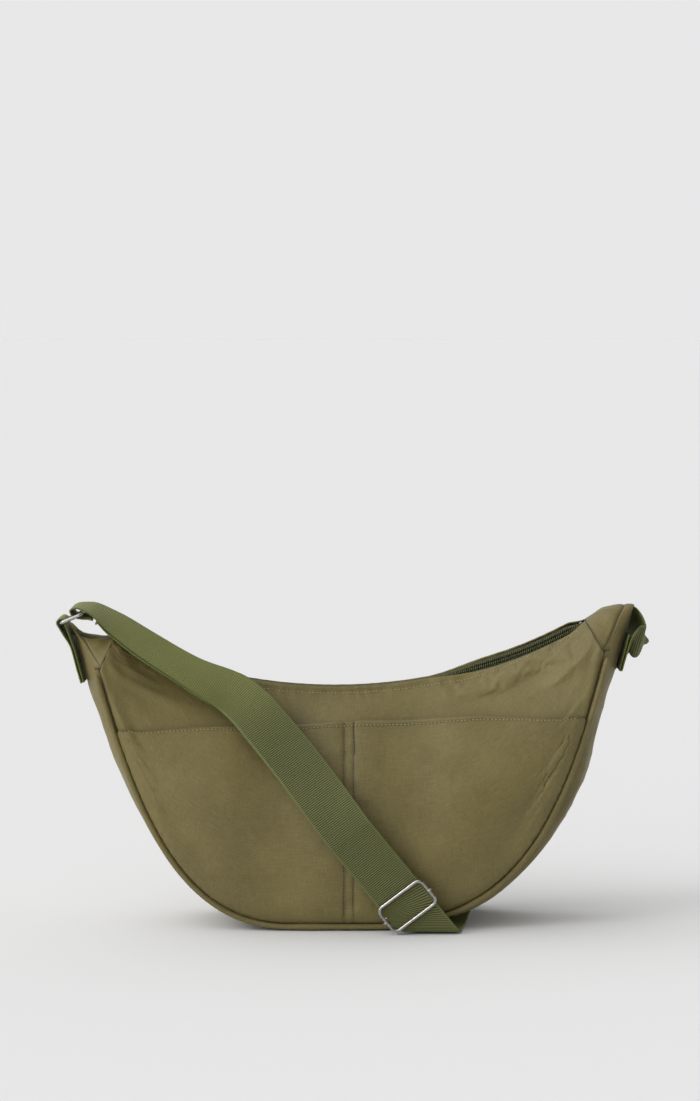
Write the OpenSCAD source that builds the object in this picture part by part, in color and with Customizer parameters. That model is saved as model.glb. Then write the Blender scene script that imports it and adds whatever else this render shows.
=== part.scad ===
// A half-moon crossbody purse, standing filled on its base.
// +X runs to the wearer's right of the front, +Y to the back, +Z up.
// The origin lies on the underside of the base.

/* [Bag] */
// Width between the two top corners of the front panel
body_w = 340; // [280:5:420]
// Height of the top corners above the base
corner_h = 175; // [150:5:215]
// Depth of the base between the front and back seams
base_d = 80; // [66:2:100]
// Depth between the seams at the top corners
corner_d = 56; // [48:1:70]
// Swell of the filled front and back panels
belly = 14; // [6:1:24]
// Distance that each end peak stands out past its corner
peak_out = 18; // [10:1:24]
// Height of each end peak above its corner
peak_rise = 29; // [24:1:38]
// Lean of the filled bag to one side, in degrees
lean = 1.9; // [0:0.1:3]
// Thickness of the outer cloth
cloth_t = 0.8; // [0.5:0.1:1.2]
// Thickness of the lining
lining_t = 0.4; // [0.3:0.1:0.6]

/* [Zip] */
// Distance of each zip end in from its corner
zip_inset = 12; // [8:1:20]
// Height of each zip end above its corner
zip_end_rise = 22; // [16:1:28]
// Sag of the zip between its ends
zip_dip = 38.5; // [26:0.5:50]
// Width between the two panel edges along the zip
zip_gap = 10.4; // [10:0.2:14]
// Thickness of the coil
coil_t = 2; // [1.6:0.1:2.4]
// Length of the pull tab
pull_l = 13; // [9:1:16]

/* [Piping] */
// Diameter of the piping over its cloth
piping_d = 4; // [3:0.2:5]
// Diameter of the cord inside the piping
piping_core_d = 2.4; // [1.6:0.1:2.8]

/* [Pocket] */
// Depth of the pockets' mouths below the middle of the zip
pocket_drop = 23; // [18:1:40]
// How far each pocket's mouth stands open
pocket_gape = 6.5; // [6:0.5:10]
// Distance of the middle seam from the middle of the bag
divider_x = -2; // [-20:1:20]

/* [Strap] */
// Width of the webbing
strap_w = 32; // [25:1:38]
// Thickness of the webbing
strap_t = 1.3; // [1:0.1:1.8]
// Wire diameter of the ring
ring_wire = 2.4; // [2:0.1:3]
// Length of the ring across the webbing's run
ring_l = 18; // [15:0.5:24]
// Wire diameter of the adjuster
adjuster_wire = 2.2; // [1.8:0.1:2.8]
// Length of the adjuster along the webbing
adjuster_l = 21.6; // [18:0.2:26]

/* [Hidden] */

cloth_colour = [0.47, 0.43, 0.29];
lining_colour = [0.34, 0.32, 0.24];
zip_colour = [0.25, 0.24, 0.16];
webbing_colour = [0.31, 0.36, 0.18];
metal_colour = [0.72, 0.72, 0.74];

seam_gap = 0.3;
piping_r = piping_d / 2;
zip_mid_h = corner_h + zip_end_rise - zip_dip;
zip_half = body_w / 2 - zip_inset;
zip_r = (zip_half * zip_half + zip_dip * zip_dip) / (2 * zip_dip);
zip_half_angle = asin(zip_half / zip_r);
zip_centre = [-zip_r * sin(lean), 0, zip_mid_h + zip_r * cos(lean)];

// ---------- shared functions ----------

function mix(a, b, t) = a + (b - a) * t;
function ease(t) = let (c = max(0, min(1, t))) c * c * (3 - 2 * c);
function unit(v) = v / norm(v);
function bezier(a, b, c, d, t) =
    a * pow(1 - t, 3) + 3 * b * t * pow(1 - t, 2) + 3 * c * t * t * (1 - t) + d * pow(t, 3);
function steps(a, b, n) = [for (i = [0 : n]) mix(a, b, i / n)];
function leaned(x, z) = [x, z * (1 + x * tan(lean) / zip_mid_h)];

// The normal of a surface f(u, v), by small differences.
function normal_of(f, u, v) =
    let (e = 0.002, a = f(u + e, v) - f(u - e, v), b = f(u, v + e) - f(u, v - e)) unit(cross(a, b));

// A closed skin between two offsets of the surface f(u, v), positive along its normal.
module skin(f, us, vs, inner, outer) {
    rows = len(us);
    cols = len(vs);
    count = rows * cols;
    outside = [for (u = us, v = vs) f(u, v) + normal_of(f, u, v) * outer];
    inside = [for (u = us, v = vs) f(u, v) + normal_of(f, u, v) * inner];
    cells = [for (i = [0 : rows - 2], j = [0 : cols - 2]) i * cols + j];
    faces = concat(
        [for (k = cells) [k, k + 1, k + cols + 1]],
        [for (k = cells) [k, k + cols + 1, k + cols]],
        [for (k = cells) [count + k, count + k + cols + 1, count + k + 1]],
        [for (k = cells) [count + k, count + k + cols, count + k + cols + 1]],
        [for (i = [0 : rows - 2]) let (k = i * cols) [k, k + cols, count + k + cols]],
        [for (i = [0 : rows - 2]) let (k = i * cols) [k, count + k + cols, count + k]],
        [for (i = [0 : rows - 2]) let (k = i * cols + cols - 1) [k, count + k + cols, k + cols]],
        [for (i = [0 : rows - 2]) let (k = i * cols + cols - 1) [k, count + k, count + k + cols]],
        [for (j = [0 : cols - 2]) [j, count + j + 1, j + 1]],
        [for (j = [0 : cols - 2]) [j, count + j, count + j + 1]],
        [for (j = [0 : cols - 2]) let (k = count - cols + j) [k, k + 1, count + k + 1]],
        [for (j = [0 : cols - 2]) let (k = count - cols + j) [k, count + k + 1, count + k]]
    );
    polyhedron(concat(outside, inside), faces, convexity = 10);
}

// ---------- the bag's outline ----------

// The base is flat between these two points, and a curve climbs from each to its corner.
base_left = 42;
base_right = 14;
curve_low = 115;
curve_high = [143, 75];
flat_share = 0.1;

function side_x(t, start) =
    bezier(start, curve_low * body_w / 340, curve_high[0] * body_w / 340, body_w / 2, t);
function side_z(t) = bezier(0, 0, curve_high[1], corner_h, t);
function seam(u) =
    let (s = abs(u), start = u < 0 ? base_left : base_right, t = (s - flat_share) / (1 - flat_share))
    let (x = s < flat_share ? start * s / flat_share : side_x(t, start), z = s < flat_share ? 0 : side_z(t))
    leaned(u < 0 ? -x : x, z) + [0, piping_r];
function seam_normal(u) =
    let (e = 0.004, t = unit(seam(min(1, u + e)) - seam(max(-1, u - e)))) [t[1], -t[0]];
function half_depth(u) = mix(base_d, corner_d, ease(abs(u))) / 2;

// Points of the zip's arc, and of the panel edges along it.
function zip_point(u) =
    let (a = lean + u * zip_half_angle) [zip_centre[0] + zip_r * sin(a), zip_centre[2] - zip_r * cos(a)];

// Half panel: u runs from corner to corner, v from the piped seam up to the zip.
function panel_y(u, v) =
    let (edge = zip_gap / 2, roundness = pow(max(0, 1 - pow(v, 2.2)), 0.8))
    edge + (half_depth(u) - edge) * roundness + belly * (1 - pow(abs(u), 3)) * sin(180 * pow(max(0, v), 0.8));
function panel_xz(u, v) =
    let (low = seam(u) - seam_normal(u) * (piping_r + seam_gap)) mix(low, zip_point(u), v);
front = function (u, v) let (p = panel_xz(u, v)) [p[0], -panel_y(u, v), p[1]];
back = function (u, v) let (p = panel_xz(-u, v)) [p[0], panel_y(-u, v), p[1]];

// Gusset: u runs from corner to corner, w from the back seam (-1) to the front seam (1).
function gusset_swell(u) = piping_r + 11.5 * pow(max(0, abs(u) - flat_share), 1.5);
function across(u, w) = mix(min(1, (1 - abs(w)) / 0.15), 1 - w * w, ease(abs(u) * 2.5 - 0.3));
gusset_face = function (u, w)
    let (s = seam(u), n = seam_normal(u), end = ease((abs(u) - 0.82) / 0.18), side = u < 0 ? -1 : 1)
    let (swell = gusset_swell(u) * across(u, w) * (1 - end), lift = peak_rise * (1 - pow(abs(w), 1.8)) * end)
    let (out = peak_out * (1 - pow(abs(w), 1.6)) * end, y = -w * (half_depth(u) - piping_r - seam_gap))
    [s[0] + n[0] * swell + side * out, y, s[1] + n[1] * swell + lift];

// End caps: w as on the gusset, s from the ridge (0) to the zip end (1).
function cap_point(side, w, s) =
    let (ridge = gusset_face(side, w), top = zip_point(side))
    let (p = mix(ridge, [top[0], -w * zip_gap / 2, top[1]], s))
    p + [0, 0, -3 * sin(180 * s) * (1 - w * w)];
right_cap = function (w, s) cap_point(1, w, s);
left_cap = function (w, s) cap_point(-1, -w, s);

edge_inset = 0.007;
panel_top = 0.995;
u_panel = steps(-1 + edge_inset, 1 - edge_inset, 26);
v_panel = [0, 0.08, 0.18, 0.3, 0.42, 0.54, 0.66, 0.76, 0.85, 0.92, 0.96, panel_top];

module front_panel() {
    color(cloth_colour)
        skin(front, u_panel, v_panel, -cloth_t, 0);
}

module back_panel() {
    color(cloth_colour)
        skin(back, u_panel, v_panel, -cloth_t, 0);
}

module gusset() {
    u_gusset = concat(
        steps(-1, -0.82, 6), steps(-0.74, -flat_share, 9), steps(flat_share, 0.74, 9), steps(0.82, 1, 6)
    );
    w_gusset = [-1, -0.85, -0.6, -0.3, 0, 0.3, 0.6, 0.85, 1];
    color(cloth_colour)
        skin(gusset_face, u_gusset, w_gusset, -cloth_t, 0);
}

module end_cap(f) {
    color(cloth_colour)
        skin(f, steps(-0.93, 0.93, 8), steps(0.07, 0.95, 7), -cloth_t, 0);
}

module left_end_cap() {
    end_cap(left_cap);
}

module right_end_cap() {
    end_cap(right_cap);
}

// ---------- pocket ----------

// The mouth is level with the bag, so it crosses the panel lower down towards the corners.
pocket_end = 0.84;
pocket_lift = 1;
function mouth_v(u) =
    let (low = panel_xz(u, 0), top = panel_xz(u, 1), mouth = leaned(low[0], zip_mid_h - pocket_drop))
    (mouth[1] - low[1]) / (top[1] - low[1]);
divider_u = divider_x / 120;
pocket_u = concat(
    steps(-pocket_end, divider_u, 12),
    [for (u = steps(divider_u, pocket_end, 12)) if (u > divider_u) u]
);
// Each pocket gapes most at the middle of its mouth and not at all at its seams.
function gape(u, h) =
    let (low = u < divider_u ? -pocket_end : divider_u, high = u < divider_u ? divider_u : pocket_end)
    let (side = (u - low) / (high - low)) pocket_gape * pow(max(0, h), 3) * pow(max(0, sin(180 * side)), 0.7);
pocket_face = function (u, h)
    let (v = h * mouth_v(u)) front(u, v) + normal_of(front, u, v) * (pocket_lift + gape(u, h));

module pocket_panel() {
    color(cloth_colour)
        skin(pocket_face, pocket_u, [0.06, 0.2, 0.4, 0.55, 0.7, 0.82, 0.92, 1], 0, cloth_t);
}

// ---------- lining ----------

lining_outer = -cloth_t - 0.5;
lining_inner = lining_outer - lining_t;
u_lining = steps(-0.965, 0.965, 18);
v_lining = [0.03, 0.15, 0.3, 0.45, 0.6, 0.75, 0.86];

module lining_front() {
    color(lining_colour)
        skin(front, u_lining, v_lining, lining_inner, lining_outer);
}

module lining_back() {
    color(lining_colour)
        skin(back, u_lining, v_lining, lining_inner, lining_outer);
}

module lining_gusset() {
    u_low = concat(steps(-0.9, -flat_share, 10), steps(flat_share, 0.9, 10));
    color(lining_colour)
        skin(gusset_face, u_low, steps(-0.9, 0.9, 6), lining_inner, lining_outer);
}

// ---------- piping ----------

piping_sides = 8;
piping_u = steps(-0.985, 0.985, 44);

function seam_ring(u, side, r) =
    let (s = seam(u), n = seam_normal(u))
    [for (k = [0 : piping_sides - 1]) let (a = 360 * k / piping_sides)
        [s[0] + n[0] * r * cos(a), side * half_depth(u) + r * sin(a), s[1] + n[1] * r * cos(a)]];

// A closed tube from rings of points, with flat ends.
function tube_walls(rings, first, flip) =
    [for (i = [0 : rings - 2], k = [0 : piping_sides - 1])
        let (a = first + i * piping_sides + k, b = first + i * piping_sides + (k + 1) % piping_sides)
        flip ? [a, b, b + piping_sides, a + piping_sides] : [a, a + piping_sides, b + piping_sides, b]];

module piping_tube(side) {
    rings = len(piping_u);
    n = rings * piping_sides;
    wall = [for (u = piping_u) each seam_ring(u, side, piping_r)];
    bore = [for (u = piping_u) each seam_ring(u, side, piping_core_d / 2 + 0.1)];
    ends = [for (k = [0 : piping_sides - 1]) let (m = (k + 1) % piping_sides) [k, m, n + m, n + k]];
    last = [for (k = [0 : piping_sides - 1])
        let (a = n - piping_sides + k, b = n - piping_sides + (k + 1) % piping_sides) [a, n + a, n + b, b]];
    polyhedron(
        concat(wall, bore),
        concat(tube_walls(rings, 0, false), tube_walls(rings, n, true), ends, last),
        convexity = 10
    );
}

module piping_cord(side) {
    rings = len(piping_u);
    wall = [for (u = piping_u) each seam_ring(u, side, piping_core_d / 2)];
    start = [for (k = [0 : piping_sides - 1]) k];
    finish = [for (k = [piping_sides - 1 : -1 : 0]) (rings - 1) * piping_sides + k];
    polyhedron(wall, concat(tube_walls(rings, 0, false), [start], [finish]), convexity = 10);
}

module front_piping() {
    color(cloth_colour) piping_tube(-1);
}

module back_piping() {
    color(cloth_colour) piping_tube(1);
}

module front_piping_cord() {
    color(lining_colour) piping_cord(-1);
}

module back_piping_cord() {
    color(lining_colour) piping_cord(1);
}

// ---------- zip ----------

coil_drop = 1;
tape_under = 0.1;
coil_low_r = zip_r + coil_drop + coil_t + tape_under;
coil_inner_y = 0.8;
coil_outer_y = 2.7;
tape_t = 0.5;
tape_skirt = 7;
zip_margin = 0.25;
slider_l = 11;
slider_w = 8.4;
plate_t = 1.1;
slider_clear = 0.35;
post_w = 0.9;
slider_start = -zip_half_angle + lean + 2.1;

// A 2D section (radius, y) swept along the zip's arc.
module along_zip(a0, a1) {
    translate(zip_centre)
        rotate([90, 0, 0])
            rotate([0, 0, a0 - 90])
                rotate_extrude(angle = a1 - a0, $fn = 360)
                    children();
}

// A frame on the zip's arc: x along the arc, z up.
module on_zip(a) {
    translate(zip_centre)
        rotate([0, -a, 0])
            translate([0, 0, -zip_r])
                children();
}

module zip_tape(side) {
    tape_inner = coil_inner_y + 0.1;
    tape_outer = zip_gap / 2 - cloth_t;
    color(zip_colour)
        along_zip(lean - zip_half_angle + zip_margin, lean + zip_half_angle - zip_margin)
            union() {
                translate([coil_low_r, side > 0 ? tape_inner : -tape_outer])
                    square([tape_t, tape_outer - tape_inner]);
                translate([coil_low_r, side > 0 ? tape_outer - tape_t : -tape_outer])
                    square([tape_skirt, tape_t]);
            }
}

module zip_coil(side) {
    color(zip_colour)
        along_zip(lean - zip_half_angle + 2 * zip_margin, lean + zip_half_angle - 2 * zip_margin)
            translate([zip_r + coil_drop, side > 0 ? coil_inner_y : -coil_outer_y])
                square([coil_t, coil_outer_y - coil_inner_y]);
}

module zip_tape_front() {
    zip_tape(1);
}

module zip_tape_back() {
    zip_tape(-1);
}

module zip_coil_front() {
    zip_coil(1);
}

module zip_coil_back() {
    zip_coil(-1);
}

module zip_stop(a) {
    color(metal_colour)
        on_zip(a)
            translate([-0.8, -coil_outer_y, -coil_drop + 0.05])
                cube([1.6, 2 * coil_outer_y, 0.8]);
}

module zip_stop_left() {
    zip_stop(lean - zip_half_angle + 0.75);
}

module zip_stop_right() {
    zip_stop(lean + zip_half_angle - 0.75);
}

pull_pin_r = 0.7;
pull_pin_z = -coil_drop + slider_clear + plate_t + 1.2;

module zip_slider() {
    top_z = -coil_drop + slider_clear;
    low_z = zip_r - coil_low_r - tape_t - slider_clear - plate_t;
    lug_w = 1.2;
    color(metal_colour)
        on_zip(slider_start) {
            difference() {
                union() {
                    translate([-slider_l / 2, -slider_w / 2, top_z])
                        cube([slider_l, slider_w, plate_t]);
                    for (y = [-3.4, 3.4 - lug_w])
                        translate([-1.8, y, top_z + plate_t / 2])
                            cube([3.6, lug_w, 2.4]);
                }
                translate([0, slider_w, pull_pin_z])
                    rotate([90, 0, 0])
                        cylinder(r = pull_pin_r + 0.05, h = 2 * slider_w, $fn = 32);
            }
            translate([-slider_l / 2 + 0.3, -post_w / 2, low_z + plate_t / 2])
                cube([1.8, post_w, top_z - low_z]);
            translate([-slider_l / 2, -slider_w / 2 + 0.7, low_z])
                cube([slider_l, slider_w - 1.4, plate_t]);
        }
}

module zip_pull() {
    tab_w = 3.4;
    tab_t = 1.2;
    pin_l = 6.6;
    color(metal_colour)
        on_zip(slider_start)
            translate([0, 0, pull_pin_z])
                union() {
                    rotate([90, 0, 0])
                        cylinder(r = pull_pin_r, h = pin_l, center = true, $fn = 32);
                    translate([0, -tab_w / 2, -tab_t / 2])
                        cube([pull_l - tab_w / 2, tab_w, tab_t]);
                    translate([pull_l - tab_w / 2, 0, 0])
                        cylinder(r = tab_w / 2 + 0.5, h = tab_t, center = true, $fn = 48);
                }
}

// ---------- webbing ----------

layer_gap = 0.3;

// Smooth values between the stations of a list, with n steps to each stretch.
function curve_value(list, i, t) =
    let (a = list[max(0, i - 1)], b = list[i], c = list[i + 1], d = list[min(len(list) - 1, i + 2)])
    0.5 * (2 * b + (c - a) * t + (2 * a - 5 * b + 4 * c - d) * t * t + (3 * b - a - 3 * c + d) * pow(t, 3));
function smooth(list, n) =
    concat(
        [for (i = [0 : len(list) - 2], k = [0 : n - 1]) curve_value(list, i, k / n)],
        [list[len(list) - 1]]
    );

// A flat ribbon through stations of [x, y, z, nx, ny, nz, slant]: a point, the way its face looks,
// and how far the section across it turns from square (0) to level with the x axis (1), which lets
// the ribbon cross a level fold at a slant.
module ribbon(stations, width, thickness) {
    last = len(stations) - 1;
    point = [for (s = stations) [s[0], s[1], s[2]]];
    run = [for (i = [0 : last]) unit(point[min(last, i + 1)] - point[max(0, i - 1)])];
    face = [for (i = [0 : last])
        let (n = [stations[i][3], stations[i][4], stations[i][5]]) unit(n - (n * run[i]) * run[i])];
    side = [for (i = [0 : last]) let (s = cross(face[i], run[i]), k = stations[i][6])
        k == 0 ? s : mix(s, [1 / s[0], 0, 0], k)];
    corners = [for (i = [0 : last], c = [[-1, -1], [1, -1], [1, 1], [-1, 1]])
        point[i] + side[i] * c[0] * width / 2 + face[i] * c[1] * thickness / 2];
    walls = [for (i = [0 : last - 1], k = [0 : 3])
        let (a = 4 * i + k, b = 4 * i + (k + 1) % 4) each [[a, b + 4, b], [a, a + 4, b + 4]]];
    polyhedron(corners, concat([[0, 1, 2, 3]], walls, [[4 * last + 3, 4 * last + 2, 4 * last + 1, 4 * last]]),
        convexity = 10);
}
function square_on(route) = [for (s = route) len(s) == 7 ? s : concat(s, 0)];

// Where the front of the filled bag lies at a place on it, by Newton's steps.
function front_uv(x, z, u, v, n) =
    n == 0 ? [u, v] :
    let (e = 0.01, p = front(u, v), a = (front(u + e, v) - p) / e, b = (front(u, v + e) - p) / e)
    let (det = a[0] * b[2] - b[0] * a[2], dx = x - p[0], dz = z - p[2])
    front_uv(x, z, u + (dx * b[2] - dz * b[0]) / det, v + (a[0] * dz - a[2] * dx) / det, n - 1);
function on_front(x, z, lift) =
    let (q = front_uv(x, z, x / 150, z / 170, 7), p = front(q[0], q[1]), n = normal_of(front, q[0], q[1]))
    concat(p + n * lift, n);

// A frame at p: x across the webbing, y along its run, z out of its face.
module placed(p, run, face) {
    side = cross(run, face);
    translate(p)
        rotate([atan2(run[2], face[2]), -asin(side[2]), atan2(side[1], side[0])])
            children();
}

// A rounded rectangle of wire, given to the middle of the wire.
module wire_loop(half_x, half_y, corner, wire) {
    for (x = [-1, 1])
        translate([x * half_x, 0, 0])
            rotate([90, 0, 0])
                cylinder(d = wire, h = 2 * (half_y - corner), center = true, $fn = 32);
    for (y = [-1, 1])
        translate([0, y * half_y, 0])
            rotate([0, 90, 0])
                cylinder(d = wire, h = 2 * (half_x - corner), center = true, $fn = 32);
    for (q = [[1, 1, 0], [-1, 1, 90], [-1, -1, 180], [1, -1, 270]])
        translate([q[0] * (half_x - corner), q[1] * (half_y - corner), 0])
            rotate([0, 0, q[2]])
                rotate_extrude(angle = 90, $fn = 64)
                    translate([corner, 0])
                        circle(d = wire, $fn = 32);
}

// The ring hangs from the left peak by its outer bar and lies tilted over the peak.
layer_pitch = strap_t + layer_gap;
wire_clear = 0.4;
ring_tilt = 23;
ring_corner = 3;
ring_bar = gusset_face(-1, 0) + [-5.5, 0, 1.2];
ring_run = [cos(ring_tilt), 0, sin(ring_tilt)];
ring_reach = ring_l - ring_wire;
loop_at = ring_bar + ring_run * ring_reach;

module strap_ring() {
    color(metal_colour)
        placed(ring_bar + ring_run * ring_reach / 2, ring_run, [-sin(ring_tilt), 0, cos(ring_tilt)])
            wire_loop(strap_w / 2 + wire_clear + ring_wire / 2, ring_reach / 2, ring_corner, ring_wire);
}

// Tab: webbing from the gusset round the ring's bar and back over itself.
tab_bend = ring_wire / 2 + layer_gap + strap_t / 2 + 0.35;
function off_gusset(u, lift) = let (n = normal_of(gusset_face, u, 0)) concat(gusset_face(u, 0) + n * lift, n);
function round_bar(p, r, a) = concat(p + r * [cos(a), 0, sin(a)], [cos(a), 0, sin(a)]);
tab_inner = layer_gap + strap_t / 2;
tab_outer = tab_inner + layer_pitch;
tab_low = [for (u = [-0.92, -0.94, -0.96])
    let (s = off_gusset(u, tab_inner)) [s[0], s[1], s[2], -s[3], -s[4], -s[5]]];
tab_back = [for (u = [-0.965, -0.94, -0.92]) off_gusset(u, tab_outer + 0.2)];
tab_turn = [for (a = [20 : 23 : 204]) round_bar(ring_bar, tab_bend, a)];
tab_route = concat(
    tab_low,
    [for (t = [0.5, 0.8, 0.93]) mix(tab_low[2], tab_turn[0], t)],
    tab_turn,
    [for (t = [0.07, 0.2, 0.5]) mix(tab_turn[len(tab_turn) - 1], tab_back[0], t)],
    tab_back
);

module ring_tab() {
    color(webbing_colour)
        ribbon(smooth(square_on(tab_route), 3), strap_w, strap_t);
}

// The webbing's slack loop through the ring, round the bar at loop_at.
loop_route = [
    for (s = [
        [8.4, 2.4, 0.3, -0.22, 0.92], [5, 4.2, 0.3, -0.16, 0.94], [0, 5.6, 0.1, -0.08, 1],
        [-4, 6, -0.3, 0, 0.95], [-7, 4.2, -0.8, 0, 0.6], [-8, 1.6, -1, 0, 0],
        [-6.6, -1.2, -0.7, 0, -0.7], [-3.6, -2.5, -0.2, 0, -1],
        [0, -2.6, 0, 0, -1], [4, -1.8, -0.3, 0.12, -0.94], [7.2, -1.9, -0.3, 0.2, -0.92]
    ]) [loop_at[0] + s[0], 0, loop_at[2] + s[1], s[2], s[3], s[4]]
];

module strap_ring_loop() {
    color(webbing_colour)
        ribbon(smooth(square_on(loop_route), 3), strap_w, strap_t);
}

// The adjuster's middle, the straight run of webbing that it slides on, and the way that run faces.
adjuster_low = 3.3;
adjuster_at = [36.2, -(base_d / 2 + belly + 1.8), adjuster_low + strap_w / 2];
adjuster_run = unit([-0.62, -0.105, 0.78]);
adjuster_face = unit(cross([1, 0, 0], adjuster_run));
function on_run(s) = concat(adjuster_at + adjuster_run * s, adjuster_face);

// Places on the webbing's way over the left of the zip: a point from the ring's bar, and its face.
over_zip = [
    [11.2, 0, 1.2, 0.3, -0.25, 0.92], [19, -1, -4.6, 0.4, -0.47, 0.76], [28, -4, -9.6, 0.44, -0.56, 0.66],
    [36, -8.5, -14.4, 0.36, -0.58, 0.7], [49, -13.5, -22.2, 0.3, -0.62, 0.7],
    [69, -17.5, -34.4, 0.32, -0.64, 0.7],
    [86, -20, -44, 0.36, -0.68, 0.64]
];
// Places on the front panel: a share of the half width, a share of the way up from the adjuster's run
// to where the webbing comes onto the front, and the height over the panel.
front_entry = corner_h - 22.5;
run_top = 66;
down_front = [
    [-0.4706, 1, 6], [-0.4, 0.8656, 10.2], [-0.3353, 0.7189, 11.6],
    [-0.2647, 0.5661, 11.2], [-0.1941, 0.4011, 11.8], [-0.1176, 0.2117, 12.6]
];
// Places under the base.
under_base = [
    [47.9, -53.9, 4.6, 0, -0.96, -0.26, 1], [50.4, -52.3, 2, 0, -0.59, -0.81, 1],
    [53, -48.7, 0.95, 0, -0.13, -0.99, 1],
    [56, -40, 0.8, 0, 0, -1, 1], [58.4, -29.5, 0.8, 0, 0, -1, 1], [60.2, -18, 0.8, 0, 0, -1, 1],
    [61.8, -4.5, 0.8, 0, 0, -1, 1], [63.2, 9, 0.8, 0, 0, -1, 1],
    [64.6, 22, 0.9, 0, 0.05, -1, 1], [66.2, 35, 1.1, 0, 0.15, -1, 1],
    [67.4, 43.5, 2.8, 0, 0.4, -0.92, 0.95], [69.4, 49.8, 8, 0, 0.8, -0.6, 0.85],
    [73.4, 52.8, 17.5, 0, 0.97, -0.2, 0.6]
];
up_behind = [
    [0.4882, 0.1943, 6.5], [0.5647, 0.3257, 4.5], [0.6529, 0.48, 3.5],
    [0.7471, 0.64, 3], [0.8412, 0.8, 3.3]
];
// Places over the right peak, from the middle of the bag's right corner.
over_peak = [
    [-8, 35, -8, 0.1, 0.95, 0.3], [2, 32.5, 5, 0.05, 0.9, 0.42], [10.5, 27, 15, 0.15, 0.72, 0.68],
    [18.7, 19, 21.5, 0.5, 0.4, 0.76], [23.5, 9.5, 22.5, 0.9, 0.15, 0.4], [25.3, 3, 18, 1, 0, 0.05],
    [23.5, 0.5, 12, 1, 0, -0.2]
];
fold_r = 0.85;
fold_u = 0.918;
tab_end = [for (a = [0 : 45 : 180])
    let (s = off_gusset(fold_u, tab_inner + fold_r), n = [s[3], 0, s[5]], t = [n[2], 0, -n[0]])
    concat([s[0], 0, s[2]] + n * fold_r * cos(a) + t * fold_r * sin(a), n * cos(a) + t * sin(a))];
inner_end = [for (u = [0.93, 0.945, 0.958])
    let (s = off_gusset(u, tab_inner)) [s[0], 0, s[2], -s[3], 0, -s[5]]];

front_way = concat(
    [for (s = over_zip) [loop_at[0] + s[0], s[1], loop_at[2] + s[2], s[3], s[4], s[5]]],
    [for (s = down_front)
        on_front(s[0] * body_w / 2, mix(on_run(run_top)[2], front_entry, s[1]), s[2])],
    [for (s = [run_top, 56, 40, 12]) on_run(s)]
);
strap_way = concat(
    front_way,
    [concat(on_run(0), 0.35), concat(on_run(-12), 1)],
    under_base,
    [for (s = up_behind) let (p = on_front(s[0] * body_w / 2, s[1] * corner_h, s[2]))
        [p[0], -p[1], p[2], p[3], -p[4], p[5]]],
    [for (s = over_peak) [body_w / 2 + s[0], s[1], corner_h + s[2], s[3], s[4], s[5]]],
    [for (u = [0.95, 0.93]) let (s = off_gusset(u, tab_inner + 2 * fold_r + (u - 0.93) * 60)) s],
    tab_end,
    inner_end
);

module shoulder_strap() {
    color(webbing_colour)
        ribbon(smooth(square_on(strap_way), 2), strap_w, strap_t);
}

// The webbing's second layer lies under the first from the ring to the adjuster.
module strap_return() {
    way = smooth(square_on(front_way), 2);
    under = [for (i = [0 : len(way) - 1]) let (s = way[i], d = layer_pitch + (i == 0 ? 2.2 : 0.25))
        [s[0] - s[3] * d / norm([s[3], s[4], s[5]]), s[1] - s[4] * d / norm([s[3], s[4], s[5]]),
         s[2] - s[5] * d / norm([s[3], s[4], s[5]]), s[3], s[4], s[5], 0]];
    color(webbing_colour)
        ribbon(under, strap_w, strap_t);
}

// ---------- adjuster ----------

frame_z = strap_t / 2 + layer_gap + adjuster_wire / 2;
bar_wire = adjuster_wire;
bar_clear = 0.1;
bar_z = -layer_pitch - strap_t / 2 - bar_clear - bar_wire / 2;
side_x_mid = strap_w / 2 + wire_clear + adjuster_wire / 2;
eye_wire = 1.6;

module at_adjuster() {
    placed(adjuster_at, adjuster_run, adjuster_face)
        children();
}

module adjuster_frame() {
    color(metal_colour)
        at_adjuster()
            translate([0, 0, frame_z])
                wire_loop(side_x_mid, (adjuster_l - adjuster_wire) / 2, 4, adjuster_wire);
}

module adjuster_bar() {
    eye_r = adjuster_wire / 2 + 0.05 + eye_wire / 2;
    color(metal_colour)
        at_adjuster() {
            translate([0, 0, bar_z])
                rotate([0, 90, 0])
                    cylinder(d = bar_wire, h = 2 * side_x_mid, center = true, $fn = 32);
            for (x = [-1, 1]) {
                translate([x * side_x_mid, 0, bar_z])
                    cylinder(d = eye_wire, h = frame_z - bar_z - eye_r, $fn = 32);
                translate([x * side_x_mid, 0, frame_z])
                    rotate([90, x > 0 ? 0 : 180, 0])
                        rotate([0, 0, -90])
                            rotate_extrude(angle = 180, $fn = 64)
                                translate([eye_r, 0])
                                    circle(d = eye_wire, $fn = 24);
            }
        }
}

// The webbing's end turns round the middle bar and is sewn back on itself.
module strap_end_loop() {
    tail = 11.5;
    bend = bar_wire / 2 + bar_clear + strap_t / 2;
    turn = [for (a = [90 : 22.5 : 270]) [bend * cos(a), bar_z + bend * sin(a), cos(a), sin(a)]];
    way = concat([[tail, bar_z + bend, 0, 1], [tail / 2, bar_z + bend, 0, 1]], turn,
        [[tail / 2, bar_z - bend, 0, -1], [tail, bar_z - bend, 0, -1]]);
    color(webbing_colour)
        at_adjuster()
            ribbon([for (s = way) [0, s[0], s[1], 0, s[2], s[3], 0]], strap_w, strap_t);
}

front_panel();
back_panel();
gusset();
left_end_cap();
right_end_cap();
pocket_panel();
front_piping();
back_piping();
front_piping_cord();
back_piping_cord();
lining_front();
lining_back();
lining_gusset();
zip_tape_front();
zip_tape_back();
zip_coil_front();
zip_coil_back();
zip_stop_left();
zip_stop_right();
zip_slider();
zip_pull();
ring_tab();
strap_ring();
strap_ring_loop();
shoulder_strap();
strap_return();
adjuster_frame();
adjuster_bar();
strap_end_loop();
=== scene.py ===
import math

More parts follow.
